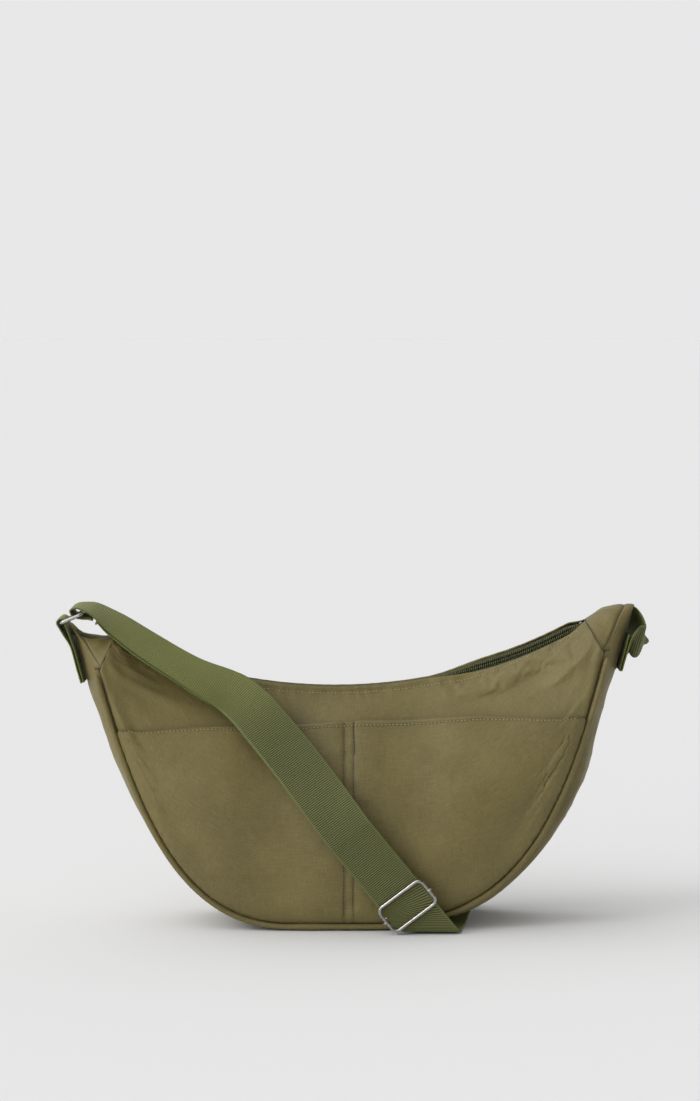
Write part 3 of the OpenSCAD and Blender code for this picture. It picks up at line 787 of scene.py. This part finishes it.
def seam_shade(p):
    """How dark the cloth is where it dives into the piped seam."""
    return np.clip(bell(np.linalg.norm(p - p[:, 1:2], axis=-1), 1.15), 0, 1)


for name, grid, toward, node in (
    ("front_panel_cloth", front, inward_front, "front_panel"),
    ("back_panel_cloth", back, -inward_front, "back_panel"),
):
    grid = tucked(grid, 1, toward)
    skin = cloth_object(name, grid, CLOTH_T, False, {"shade": seam_shade(grid)})
    finish_piece(skin, bag_cloth, "root", [node])

for name, grid, seed in (("front_top_stitches", front, 5), ("back_top_stitches", back, 6)):
    n = normals(grid)
    column = int(FINE_COLS * 0.975)
    ends = slice(6, -6)
    stitched(name, grid[ends, column], n[ends, column], bag_thread, "root", seed, 0.12)

# ---------------------------------------------------------------- pocket

POCKET_ROWS = 300
POCKET_COLS = 96
POCKET_GAPE = 2.4
DIVIDER_LEFT = -5.5
DIVIDER_RIGHT = 0.9
search = np.linspace(0.7, 0.98, 400)
POCKET_LEFT = -search[np.argmin(np.abs(mouth_v(-search) - 0.07))]
POCKET_RIGHT = search[np.argmin(np.abs(mouth_v(search) - 0.07))]
pocket_u = np.linspace(POCKET_LEFT, POCKET_RIGHT, POCKET_ROWS)
pocket_h = np.linspace(0.0, 1.0, POCKET_COLS)
pu, ph = np.meshgrid(pocket_u, pocket_h, indexing="ij")


def pocket_point(u, h):
    v = h * mouth_v(u)
    p, n = on_front(u, v)
    from_seam = np.linalg.norm(p - on_front(u, v * 0)[0], axis=-1)
    low = np.where(u < DIVIDER_U, POCKET_LEFT, DIVIDER_U)
    high = np.where(u < DIVIDER_U, DIVIDER_U, POCKET_RIGHT)
    side = (u - low) / (high - low)
    bulge = np.clip(np.sin(math.pi * side), 0, 1)
    gape = POCKET_GAPE * h ** 3 * bulge ** 0.7
    fill = 1.6 * np.sin(math.pi * np.clip(h, 0, 1)) * bulge ** 0.5
    middle = p[..., 0] - (DIVIDER_LEFT + DIVIDER_RIGHT) / 2
    valley = -0.7 * bell(middle, 6.5) * ease(h / 0.1)
    lines = -0.35 * (bell(p[..., 0] - DIVIDER_LEFT, 0.9) + bell(p[..., 0] - DIVIDER_RIGHT, 0.9))
    hem = 0.32 * ease((h - 0.955) / 0.01) - 0.4 * bell(h - 0.978, 0.006)
    lip = -0.5 * ease((h - 0.992) / 0.008)
    near = bell(middle, 15) * ease((1 - h) * 8)
    tug = 0.22 * near * np.sin(h * 60 + 2 * waves(p, 31, 3, 60, 20))
    soft = waves(p, 33, 6, 70, 30) * 0.3 * ease(h / 0.2) * bulge ** 0.5
    shape = gape + fill + valley + lines * ease(h / 0.05) + hem + lip + tug + soft
    out = mix(CLOTH_T + 0.15, POCKET_LIFT + CLOTH_T + 0.25, ease(from_seam / 12)) + shape * ease(from_seam / 16)
    return p + n * out[..., None]


pocket = pocket_point(pu, ph)
low_edge = np.linalg.norm(pocket - pocket[:, :1], axis=-1)
across = pocket[..., 0]
pocket_shade = np.maximum(bell(low_edge, 1.3), 0.5 * bell(ph - 0.978, 0.006))
for line_x in (DIVIDER_LEFT, DIVIDER_RIGHT):
    pocket_shade = np.maximum(pocket_shade, 0.42 * bell(across - line_x, 0.9) * (ph < 0.99))
pocket_skin = cloth_object("pocket_cloth", pocket, CLOTH_T, False, {"shade": pocket_shade})
finish_piece(pocket_skin, bag_cloth, "root", ["pocket_panel"])
pocket_n = normals(pocket)
mouth_row = int(POCKET_COLS * 0.978)
stitched(
    "pocket_mouth_stitches", pocket[4:-4, mouth_row], pocket_n[4:-4, mouth_row],
    bag_thread, "root", 8, 0.16,
)


def upright_line(x_top, x_low, wave, top=0.999, low=0.05):
    """A line down the pocket at given distances along X, for the middle seam."""
    h = np.linspace(top, low, 160)
    x = mix(x_top, x_low, (top - h) / (top - low)) + wave * np.sin(h * 31)
    columns = h * (POCKET_COLS - 1)
    fine = np.linspace(0, POCKET_ROWS - 1, 900)
    line = []
    for target, column in zip(x, columns):
        row = sample(pocket, fine, np.full_like(fine, column))
        line.append(np.interp(target, row[:, 0], fine))
    rows = np.array(line)
    return sample(pocket, rows, columns), unit(sample(pocket_n, rows, columns))


for name, x_top, x_low, wave, seed in (
    ("divider_stitches_left", -5.3, -5.8, 0.18, 11),
    ("divider_stitches_right", 1.1, 0.5, 0.3, 12),
):
    line, out = upright_line(x_top, x_low, wave)
    stitched(name, line, out, dark_thread, "root", seed, 0.1, 0.86)
line, out = upright_line(1.5, 1.0, 0.5, 0.998, 0.84)
stitched("divider_back_tack", line, out, dark_thread, "root", 13, 0.45, 1.1)

# ---------------------------------------------------------------- gusset and end caps

GUSSET_ROWS = 420
GUSSET_COLS = 44
gu, gw = np.meshgrid(
    np.concatenate([np.linspace(-1, -0.0001, GUSSET_ROWS // 2), np.linspace(0.0001, 1, GUSSET_ROWS // 2)]),
    np.linspace(-1, 1, GUSSET_COLS),
    indexing="ij",
)
gusset = gusset_face(gu, gw)
gusset_n = normals(gusset)
edge_hold = ease((1 - np.abs(gw)) / 0.2)
arc = gu * 330
gusset_out = waves(gusset, 41, 7, 90, 35) * 0.55 * edge_hold * ease((np.abs(gu) - 0.3) / 0.2)
gusset_out += np.sin(arc * TURN / 8.5 + 2 * waves(gusset, 43, 4, 60, 25)) * 0.22 * bell(1 - np.abs(gw), 0.22)
gusset_out -= 0.5 * np.abs(waves(gusset, 47, 5, 50, 20)) ** 0.7 * edge_hold * ease((np.abs(gu) - 0.5) / 0.2)
gusset_out += 4.2 * ease((gu - 0.12) / 0.3) * ease((0.88 - gu) / 0.16) * ease((1 - np.abs(gw)) / 0.3)
gusset = gusset + gusset_n * (gusset_out * ease((np.abs(gu) - 0.12) / 0.1))[..., None]
gusset[..., 2] = np.maximum(gusset[..., 2], 0.02)
flange = np.zeros_like(gusset[:, :1])
flange[..., 0] = -seam_normal(gu[:, :1])[0] * 3.5
flange[..., 2] = -seam_normal(gu[:, :1])[1] * 3.5
gusset_wide = np.concatenate([gusset[:, :1] + flange, gusset, gusset[:, -1:] + flange], axis=1)
gusset_skin = cloth_object("gusset_cloth", gusset_wide, CLOTH_T)
finish_piece(gusset_skin, bag_cloth, "root", ["gusset"])


def cap_grid(side):
    w, s = np.meshgrid(np.linspace(-1, 1, 90), np.linspace(0, 1, 70), indexing="ij")
    return w, s, cap_face(side, w, s)


def end_cap(name, side, node):
    w, s, p = cap_grid(side)
    n = normals(p)
    n = n * np.sign(n[..., 2:3].mean())
    hold = np.sin(math.pi * s) ** 0.7 * (1 - w ** 4)
    if side < 0:
        out = -9 * bell(w - 0.05, 0.3) * np.sin(math.pi * s) ** 0.8 + 2.4 * bell(np.abs(w) - 0.62, 0.2) * hold
    else:
        out = 6.2 * hold + 0.35 * np.sin(w * 17 + 3 * waves(p, 53, 3, 40, 20)) * np.sin(math.pi * s) * hold
    out = out + waves(p, 51 + side, 6, 40, 14) * 0.5 * hold
    seam_line = -0.7 * bell(s - 0.14, 0.03)
    p = p + n * (out + seam_line)[..., None]
    shade = np.maximum(0.85 * bell(s - 0.14, 0.018), 0.8 * bell(1 - np.abs(w), 0.025))
    if side < 0:
        shade = np.maximum(shade, 0.6 * bell(w - 0.1, 0.12) * ease(s / 0.3))
    skin = cloth_object(name, p, CLOTH_T, side > 0, {"shade": shade})
    finish_piece(skin, bag_cloth, "root", [node])
    return w, s, p, n


end_cap("left_cap_cloth", -1, "left_end_cap")
end_cap("right_cap_cloth", 1, "right_end_cap")

# ---------------------------------------------------------------- piping


def tube(name, centre, across, up, radius, sides=12):
    """A closed tube of cloth round a line, shut with flat ends."""
    a = np.linspace(0, TURN, sides, endpoint=False)
    ring = np.cos(a)[None, :, None] * across[:, None] + np.sin(a)[None, :, None] * up[:, None]
    p = centre[:, None] + ring * radius[:, None, None]
    faces = grid_faces(p.shape[0], sides, True, True)
    faces.append(list(range(sides)))
    faces.append([(p.shape[0] - 1) * sides + k for k in range(sides - 1, -1, -1)])
    length = np.concatenate([[0], np.cumsum(np.linalg.norm(np.diff(centre, axis=0), axis=-1))])
    uv = np.stack(np.broadcast_arrays(length[:, None], (a * 2)[None, :]), -1) * MM
    return turn_outward(make_object(name, p, faces, uv))


for name, side, nodes in (
    ("front_piping_cloth", -1, ["front_piping", "front_piping_cord"]),
    ("back_piping_cloth", 1, ["back_piping", "back_piping_cord"]),
):
    u = np.linspace(-0.988, 0.988, 560)
    x, z = seam(u)
    nx, nz = seam_normal(u)
    centre = stack(x, side * half_depth(u), z)
    across = stack(nx, np.zeros_like(u), nz)
    up = stack(np.zeros_like(u), np.ones_like(u), np.zeros_like(u))
    wobble = waves(centre, 61 + side, 5, 60, 18)
    radius = PIPING_R * (1 + 0.05 * wobble - 0.05 * np.sin(u * 330 * TURN / 6.5) ** 8)
    radius *= 1 - 0.45 * bell(1 - np.abs(u) / 0.988, 0.006)
    piping = tube(name, centre, across, up, radius, 14)
    finish_piece(piping, bag_cloth, "root", nodes)

# ---------------------------------------------------------------- zip

ZIP_STEPS = 420


def zip_place(u, y, depth):
    """A place on the zip: y across it, and depth below the panels' edges."""
    x, z = zip_point(u)
    roll = zip_roll(u)
    a = LEAN + u * ZIP_ANGLE
    flat_y = y * np.cos(roll) + zip_wave(u) + depth * np.sin(roll)
    rise = y * np.sin(roll) - depth * np.cos(roll)
    return stack(x - rise * np.sin(a), flat_y, z + rise * np.cos(a))


def zip_up(u):
    roll = zip_roll(u)
    a = LEAN + u * ZIP_ANGLE
    return stack(-np.sin(a) * np.cos(roll), -np.sin(roll), np.cos(a) * np.cos(roll))


zip_u = np.linspace(-0.99, 0.99, ZIP_STEPS)
for name, side, node in (("tape_front", -1, "zip_tape_front"), ("tape_back", 1, "zip_tape_back")):
    lines = [zip_place(zip_u, side * y, depth) for y, depth in ((0.9, 3.1), (2.5, 3.1), (3.6, 2.6), (4.3, 2.3), (4.5, 3.4), (4.3, 5))]
    grid = np.stack(lines if side < 0 else lines[::-1], axis=1)
    finish_piece(cloth_object(name + "_cloth", grid[:, ::-1], 0.5), tape_cloth, "root", [node])

COIL_PITCH = 1.36
coil_count = int(2 * ZIP_ANGLE * ZIP_R * 0.985 / COIL_PITCH)
for name, side, shift, node in (("coil_front", -1, 0.0, "zip_coil_front"), ("coil_back", 1, 0.5, "zip_coil_back")):
    u = np.linspace(-0.985, 0.985, coil_count) + shift * 1.97 / coil_count
    q = zip_place(u, side * 1.55, 1.9)
    ahead = unit(zip_place(u + 0.001, side * 1.55, 1.9) - zip_place(u - 0.001, side * 1.55, 1.9))
    up = zip_up(u)
    run = unit(np.cross(up, ahead) + 0.16 * ahead)
    repeated(name, q, run, up, (2.7, 1.0, 1.9), coil_plastic, "root", 0.04, 21, [node])
    u = np.linspace(-0.985, 0.985, 900)
    stitched(name + "_stitches", zip_place(u, side * 3.1, 2.5), zip_up(u), strap_thread, "root", 22, 0.15)

for node in ("zip_stop_left", "zip_stop_right", "zip_slider", "zip_pull", "strap_ring", "adjuster_frame", "adjuster_bar"):
    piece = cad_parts[node]
    piece.data.materials.clear()
    piece.data.materials.append(nickel)
for name, grid, node in (("lining_front_cloth", front, "lining_front"), ("lining_back_cloth", back, "lining_back")):
    low = int(FINE_COLS * 0.03)
    high = int(FINE_COLS * 0.87)
    cut = (grid - normals(grid) * 1.4)[5:-5:2, low:high:2]
    finish_piece(cloth_object(name, cut, 0.4), lining_cloth, "root", [node])
cut = (gusset - gusset_n * 1.4)[20:-20:2, 2:-2]
finish_piece(cloth_object("lining_gusset_cloth", cut, 0.4), lining_cloth, "root", ["lining_gusset"])

# ---------------------------------------------------------------- webbing

RING_TILT = math.radians(23)
RING_REACH = 15.6
LAYER = 1.6
ring_bar = gusset_face(np.array(-1.0), np.array(0.0)) + np.array([-5.5, 0, 1.2])
loop_at = ring_bar + RING_REACH * np.array([math.cos(RING_TILT), 0, math.sin(RING_TILT)])
adjuster_at = np.array([36.2, -(BASE_D / 2 + BELLY + 1.8), 19.3])
adjuster_run = unit(np.array([-0.62, -0.105, 0.78]))
adjuster_face = unit(np.cross([1, 0, 0], adjuster_run))


def plain_front(x, z, lift):
    """A place over the plain filled front panel, with its outward direction."""
    u = x / 150
    v = z / 170
    e = 0.01

    def at(a, b):
        return panel(np.array(a), np.array(b), -1)

    for _ in range(8):
        p = at(u, v)
        a = (at(u + e, v) - p) / e
        b = (at(u, v + e) - p) / e
        det = a[0] * b[2] - b[0] * a[2]
        dx = x - p[0]
        dz = z - p[2]
        u += (dx * b[2] - dz * b[0]) / det
        v += (a[0] * dz - a[2] * dx) / det
    p = at(u, v)
    n = unit(np.cross(at(u + e, v) - at(u - e, v), at(u, v + e) - at(u, v - e)))
    return np.concatenate([p + n * lift, n, [0]])


def off_gusset(u, lift):
    e = 0.002
    p = gusset_face(np.array(float(u)), np.array(0.0))
    du = gusset_face(np.array(u + e), np.array(0.0)) - gusset_face(np.array(u - e), np.array(0.0))
    dw = gusset_face(np.array(float(u)), np.array(e)) - gusset_face(np.array(float(u)), np.array(-e))
    n = unit(np.cross(du, dw))
    return np.concatenate([p + n * lift, n, [0]])


def station(point, face, slant=0.0):
    return np.concatenate([point, face, [slant]])


def on_run(s, slant=0.0):
    return station(adjuster_at + adjuster_run * s, adjuster_face, slant)


OVER_ZIP = [
    (11.2, 0, -0.4, 0.3, -0.2, 0.93), (19, 0, -5.8, 0.4, -0.34, 0.84), (28, -2.4, -11.4, 0.44, -0.4, 0.8),
    (36, -6.4, -16.8, 0.36, -0.42, 0.82), (49, -11.2, -24.8, 0.3, -0.46, 0.82),
    (69, -16, -36.4, 0.32, -0.5, 0.78), (86, -20.4, -45, 0.36, -0.66, 0.66),
]
DOWN_FRONT = [
    (-80, 152.5, 6), (-68, 141.5, 10.2), (-57, 129.5, 11.6),
    (-45, 117, 11.2), (-33, 103.5, 11.8), (-20, 88, 12.6),
]
UNDER_BASE = [
    (47.9, -53.9, 4.6, 0, -0.96, -0.26, 1), (50.4, -52.3, 2, 0, -0.59, -0.81, 1),
    (53, -48.7, 0.95, 0, -0.13, -0.99, 1), (56, -40, 0.8, 0, 0, -1, 1), (58.4, -29.5, 0.8, 0, 0, -1, 1),
    (60.2, -18, 0.8, 0, 0, -1, 1), (61.8, -4.5, 0.8, 0, 0, -1, 1), (63.2, 9, 0.8, 0, 0, -1, 1),
    (64.6, 22, 0.9, 0, 0.05, -1, 1), (66.2, 35, 1.1, 0, 0.15, -1, 1), (67.4, 43.5, 2.8, 0, 0.4, -0.92, 0.95),
    (69.4, 49.8, 8, 0, 0.8, -0.6, 0.85), (73.4, 52.8, 17.5, 0, 0.97, -0.2, 0.6),
]
UP_BEHIND = [(83, 34, 6.5), (96, 57, 4.5), (111, 84, 3.5), (127, 112, 3), (143, 140, 3.3)]
OVER_PEAK = [
    (162, 35, 167, 0.1, 0.95, 0.3), (172, 32.5, 180, 0.05, 0.9, 0.42), (180.5, 27, 190, 0.15, 0.72, 0.68),
    (188.7, 19, 196.5, 0.5, 0.4, 0.76), (193.5, 9.5, 197.5, 0.9, 0.15, 0.4), (195.3, 3, 193, 1, 0, 0.05),
    (193.5, 0.5, 187, 1, 0, -0.2),
]
LOOP = [
    (8.4, 1.2, 0.3, -0.22, 0.92), (5, 2.7, 0.3, -0.16, 0.94), (0, 3.8, 0.1, -0.08, 1), (-4, 4.2, -0.3, 0, 0.95),
    (-7, 3.2, -0.8, 0, 0.6), (-8, 1.6, -1, 0, 0), (-6.6, -1.2, -0.7, 0, -0.7), (-3.6, -2.5, -0.2, 0, -1),
    (0, -2.6, 0, 0, -1), (4, -1.8, -0.3, 0.12, -0.94), (7.2, -1.9, -0.3, 0.2, -0.92),
]
FOLD_R = 0.85
FOLD_U = 0.918
TAB_IN = 0.3 + STRAP_T / 2


def front_way():
    way = [station(loop_at + np.array(s[:3]), np.array(s[3:])) for s in OVER_ZIP]
    way += [plain_front(*s) for s in DOWN_FRONT]
    return way + [on_run(66), on_run(56), on_run(40), on_run(12)]


def sewn_end():
    way = []
    for u in (0.95, 0.93):
        way.append(off_gusset(u, TAB_IN + 2 * FOLD_R + (u - 0.93) * 60))
    for a in np.radians(np.arange(0, 181, 45)):
        s = off_gusset(FOLD_U, TAB_IN + FOLD_R)
        n = np.array([s[3], 0, s[5]])
        t = np.array([n[2], 0, -n[0]])
        way.append(station(np.array([s[0], 0, s[2]]) + FOLD_R * (n * np.cos(a) + t * np.sin(a)), n * np.cos(a) + t * np.sin(a)))
    for u in (0.93, 0.945, 0.958):
        s = off_gusset(u, TAB_IN)
        way.append(station(np.array([s[0], 0, s[2]]), np.array([-s[3], 0, -s[5]])))
    return way


def strap_way():
    way = front_way() + [on_run(0, 0.35), on_run(-12, 1)]
    way += [np.array(s, float) for s in UNDER_BASE]
    for s in UP_BEHIND:
        way.append(plain_front(*s) * np.array([1, -1, 1, 1, -1, 1, 1]))
    way += [np.array([*s, 0.0]) for s in OVER_PEAK]
    return way + sewn_end()


def smoothed(way, n):
    """Catmull-Rom values between the stations, n to each stretch."""
    way = np.array(way, float)
    out = []
    for i in range(len(way) - 1):
        a = way[max(0, i - 1)]
        b = way[i]
        c = way[i + 1]
        d = way[min(len(way) - 1, i + 2)]
        for k in range(n):
            t = k / n
            out.append(0.5 * (2 * b + (c - a) * t + (2 * a - 5 * b + 4 * c - d) * t * t + (3 * b - a - 3 * c + d) * t ** 3))
    out.append(way[-1])
    return np.array(out)


def ribbon_length(s):
    return np.concatenate([[0], np.cumsum(np.linalg.norm(np.diff(s[:, :3], axis=0), axis=-1))])


RIB_STEPS = 4
EDGE_PROFILE = [-1.0, -0.985, -0.955, -0.91, -0.6, -0.2, 0.2, 0.6, 0.91, 0.955, 0.985, 1.0]


def evened(values, reach):
    """A running average of rows, over this many of them to each side."""
    count = max(1, int(reach))
    kernel = np.hanning(2 * count + 3)
    kernel = kernel / kernel.sum()
    padded = np.pad(values, ((count + 1, count + 1), (0, 0)), mode="edge")
    return np.stack([np.convolve(column, kernel, mode="valid") for column in padded.T], -1)


def eased_way(s, at, low, high, reach):
    """Evens out the stretch of webbing between two lengths, so that it turns gently."""
    even = evened(s, reach / (at[1] - at[0]))
    share = ease((at - low) / reach) * ease((high - at) / reach)
    return mix(s, even, share[:, None])


def webbing_strip(name, way, start=0.0, steps=14, gentle=None):
    """Ribbed webbing through stations of point, face and slant, as one closed strip."""
    s = smoothed(way, steps)
    length = ribbon_length(s)
    total = length[-1]
    count = int(total / RIB_PITCH) * RIB_STEPS
    at = np.linspace(0, total, count + 1)
    s = np.stack([np.interp(at, length, s[:, k]) for k in range(7)], -1)
    if gentle:
        s = eased_way(s, at, *gentle)
    p = s[:, :3]
    run = unit(np.gradient(p, axis=0))
    face = unit(s[:, 3:6] - np.sum(s[:, 3:6] * run, -1, keepdims=True) * run)
    side = np.cross(face, run)
    level = np.zeros_like(side)
    safe = np.where(np.abs(side[:, 0]) < 0.2, 0.2 * np.sign(side[:, 0] + 1e-9), side[:, 0])
    level[:, 0] = 1 / safe
    side = mix(side, level, s[:, 6:7])
    side = evened(side, 12 / (at[1] - at[0]))
    side = side / np.minimum(np.linalg.norm(side, axis=-1, keepdims=True), 1)
    face = unit(np.cross(run, side))
    phase = (at + start) / RIB_PITCH * TURN
    rib = (0.5 - 0.5 * np.cos(phase)) ** 1.4
    w = np.array(EDGE_PROFILE)
    edge = ease((np.abs(w) - 0.93) / 0.04)
    round_off = np.where(np.abs(w) > 0.97, 0.45, 1.0)
    bulge = mix(-0.24, 0.14, rib ** 0.8)[:, None] * (1 - edge)[None, :]
    half = (STRAP_T / 2 - 0.06 + bulge) * round_off[None, :]
    wide = w * STRAP_W / 2
    uneven = 0.12 * np.sin(at / 17.0) + 0.07 * np.sin(at / 6.3 + 1)
    centre = p[:, None] + side[:, None] * (wide[None, :] * (1 + 0.0 * at[:, None]))[..., None]
    centre = centre + side[:, None] * (uneven[:, None] * (np.abs(w)[None, :] > 0.9) * np.sign(w)[None, :])[..., None] * 0.5
    top = centre + face[:, None] * half[..., None]
    low = centre - face[:, None] * half[..., None]
    ring = np.concatenate([top, low[:, ::-1]], axis=1)
    cols = ring.shape[1]
    faces = grid_faces(len(at), cols, False, True)
    faces.append(list(range(cols - 1, -1, -1)))
    faces.append([(len(at) - 1) * cols + k for k in range(cols)])
    v = np.concatenate([wide, wide[::-1]])
    uv = np.stack(np.broadcast_arrays(at[:, None], v[None, :]), -1) * MM
    # Painted light in the webbing colour: these rib values darken the gaps between the ribs as painted shade, and the
    # first 90 mm of the strap, round the ring and over the top, stays light as painted light, blending to full rib
    # shade by about 200 mm.
    rib_shade_and_top_light = mix(1 - 0.3 * (1 - ease(rib * 1.25 - 0.12)), ease(rib * 1.25 - 0.12) * 0.9, ease((at + start - 90) / 110))
    painted_rib_shade = np.broadcast_to(rib_shade_and_top_light[:, None], (len(at), cols))
    edges = np.broadcast_to(np.concatenate([edge, edge[::-1]])[None, :], (len(at), cols))
    strip = turn_outward(make_object(name, ring, faces, uv, {"rib": painted_rib_shade, "edge": edges}))
    return strip, s, face, side, total


loop_way = [station(loop_at + np.array([s[0], 0, s[1]]), np.array(s[2:])) for s in LOOP[::-1]]
outer, outer_s, outer_face, outer_side, outer_len = webbing_strip(
    "strap_outer", loop_way + strap_way(), 0.0, 14, (30, 285, 24)
)
finish_piece(outer, webbing, None, ["shoulder_strap", "strap_ring_loop"])
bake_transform(outer)
outer_len * MM

under = smoothed(front_way(), 6)
under_n = unit(under[:, 3:6])
drop = np.full(len(under), LAYER + 0.25)
drop[0] = LAYER + 2.2
under[:, :3] -= under_n * drop[:, None]
inner_len = ribbon_length(under)[-1]
middle = len(under) // 3
upper = webbing_strip("strap_inner_upper", under[: middle + 1], 0.7, 3)[0]
finish_piece(upper, webbing, None, ["strap_return"])
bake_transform(upper)
lower = webbing_strip("strap_inner_lower", under[middle:], 0.7, 3)[0]
finish_piece(lower, webbing, None, ["strap_return"])
(adjuster_at + adjuster_run * 110) * MM
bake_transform(lower)
lengths = (ribbon_length(under[: middle + 1])[-1], ribbon_length(under[middle:])[-1])
for piece, size in zip((upper, lower), lengths):
    size * MM

# The end that turns round the adjuster's middle bar.
BAR_Z = -LAYER - STRAP_T / 2 - 0.1 - 1.1
BEND = 1.1 + 0.1 + STRAP_T / 2
end_way = []
for y, z, ny, nz in (
    [(11.5, BAR_Z + BEND, 0, 1), (5.75, BAR_Z + BEND, 0, 1)]
    + [(BEND * math.cos(a), BAR_Z + BEND * math.sin(a), math.cos(a), math.sin(a)) for a in np.radians(np.arange(90, 271, 22.5))]
    + [(5.75, BAR_Z - BEND, 0, -1), (11.5, BAR_Z - BEND, 0, -1)]
):
    end_way.append(station(adjuster_at + adjuster_run * y + adjuster_face * z, adjuster_run * ny + adjuster_face * nz))
tail, tail_s, tail_face, tail_side, tail_len = webbing_strip("strap_tail", end_way, 0.2, 10)
finish_piece(tail, webbing, "adjuster", ["strap_end_loop"])
tail_len * MM

# The tab that holds the ring.
TAB_BEND = 1.2 + 0.3 + STRAP_T / 2 + 0.35


def round_bar(a):
    way = np.array([math.cos(a), 0, math.sin(a)])
    return station(ring_bar + TAB_BEND * way, way)


tab_low = [off_gusset(u, TAB_IN) * np.array([1, 1, 1, -1, -1, -1, 1]) for u in (-0.92, -0.94, -0.96)]
tab_back = [off_gusset(u, TAB_IN + LAYER + 0.2) for u in (-0.965, -0.94, -0.92)]
tab_turn = [round_bar(a) for a in np.radians(np.arange(20, 205, 23))]
tab_way = tab_low + [mix(tab_low[2], tab_turn[0], t) for t in (0.5, 0.8, 0.93)] + tab_turn
tab_way += [mix(tab_turn[-1], tab_back[0], t) for t in (0.07, 0.2, 0.5)] + tab_back
tab, tab_s, tab_face, tab_side, tab_len = webbing_strip("ring_tab_webbing", tab_way, 0.1, 8)
finish_piece(tab, webbing, "root", ["ring_tab"])
tab_len * MM


def cross_stitches(name, s, face, side, at, body, seed):
    """A row of stitches across the webbing."""
    w = np.linspace(-0.86, 0.86, 60)[:, None] * STRAP_W / 2
    line = s[at, :3] + side[at] * w + face[at] * (STRAP_T / 2 + 0.05)
    stitched(name, line, np.repeat(face[at][None], 60, 0), strap_thread, body, seed, 0.05)


cross_stitches("tab_stitches", tab_s, tab_face, tab_side, -10, "root", 31)
cross_stitches("tab_stitches_low", tab_s, tab_face, tab_side, -26, "root", 32)

# ---------------------------------------------------------------- room, light and camera

FLOOR = [(-90000, -9000, 0), (90000, -9000, 0), (90000, 400000, 0), (-90000, 400000, 0)]
floor_mesh = make_object("floor", FLOOR, [[0, 1, 2, 3]])
floor_mesh.location = (0, 0, -0.0009)
floor_mesh.data.materials.append(floor_material())

ROOM = 0.807
world = bpy.data.worlds.new("studio")
bpy.context.scene.world = world
world.use_nodes = True


def room_light(tree):
    """An even pale room behind the bag; in front of it, brighter high on the left and dim on the right."""
    backdrop = tree.nodes["Background"]

    def maths(kind, a, b=0.0, clamp=False):
        node = tree.nodes.new("ShaderNodeMath")
        node.operation = kind
        node.use_clamp = clamp
        for socket, value in zip(node.inputs, (a, b)):
            if isinstance(value, float):
                socket.default_value = value
            else:
                tree.links.new(value, socket)
        return node.outputs[0]

    way = tree.nodes.new("ShaderNodeTexCoord").outputs["Generated"]
    split = tree.nodes.new("ShaderNodeSeparateXYZ")
    tree.links.new(way, split.inputs[0])
    x, y, z = split.outputs
    before = maths("MULTIPLY", maths("SUBTRACT", maths("MULTIPLY", y, -1.0), 0.06), 3.0, True)
    over = maths("MULTIPLY", maths("SUBTRACT", z, 0.45), 3.0, True)
    share = maths("MAXIMUM", before, over)
    side = maths("MULTIPLY", x, -SIDE_LIGHT)
    high = maths("MULTIPLY", z, HIGH_LIGHT)
    level = maths("MAXIMUM", maths("ADD", maths("ADD", side, high), ROOM_FRONT), 0.12)
    change = maths("MULTIPLY", maths("SUBTRACT", level, 1.0), share)
    tree.links.new(maths("MULTIPLY", maths("ADD", change, 1.0), ROOM), backdrop.inputs[1])
    backdrop.inputs[0].default_value = (1, 1, 1, 1)


SIDE_LIGHT = 2.3
HIGH_LIGHT = 0.5
ROOM_FRONT = 0.72
room_light(world.node_tree)

KEY_POWER = 0.55
key_way = Vector((-0.74, -0.4, 0.54)).normalized()
key_data = bpy.data.lights.new("key", "SUN")
key_data.angle = math.radians(24)
key_data.energy = KEY_POWER
key = bpy.data.objects.new("key", key_data)
bpy.context.scene.collection.objects.link(key)
key.rotation_euler = key_way.to_track_quat("Z", "Y").to_euler()

CAMERA_DISTANCE = 2.0
CAMERA_RISE = math.radians(4)
aim = Vector((-0.0013, -0.04, 0.251))
camera_data = bpy.data.cameras.new("camera")
camera_data.sensor_fit = "VERTICAL"
camera_data.sensor_height = 36
camera_data.lens = 36 * CAMERA_DISTANCE / 0.721
camera = bpy.data.objects.new("camera", camera_data)
bpy.context.scene.collection.objects.link(camera)
camera.location = aim + CAMERA_DISTANCE * Vector((0, -math.cos(CAMERA_RISE), math.sin(CAMERA_RISE)))
camera.rotation_euler = (aim - camera.location).to_track_quat("-Z", "Y").to_euler()
bpy.context.scene.camera = camera
bpy.context.scene.view_settings.view_transform = "Standard"
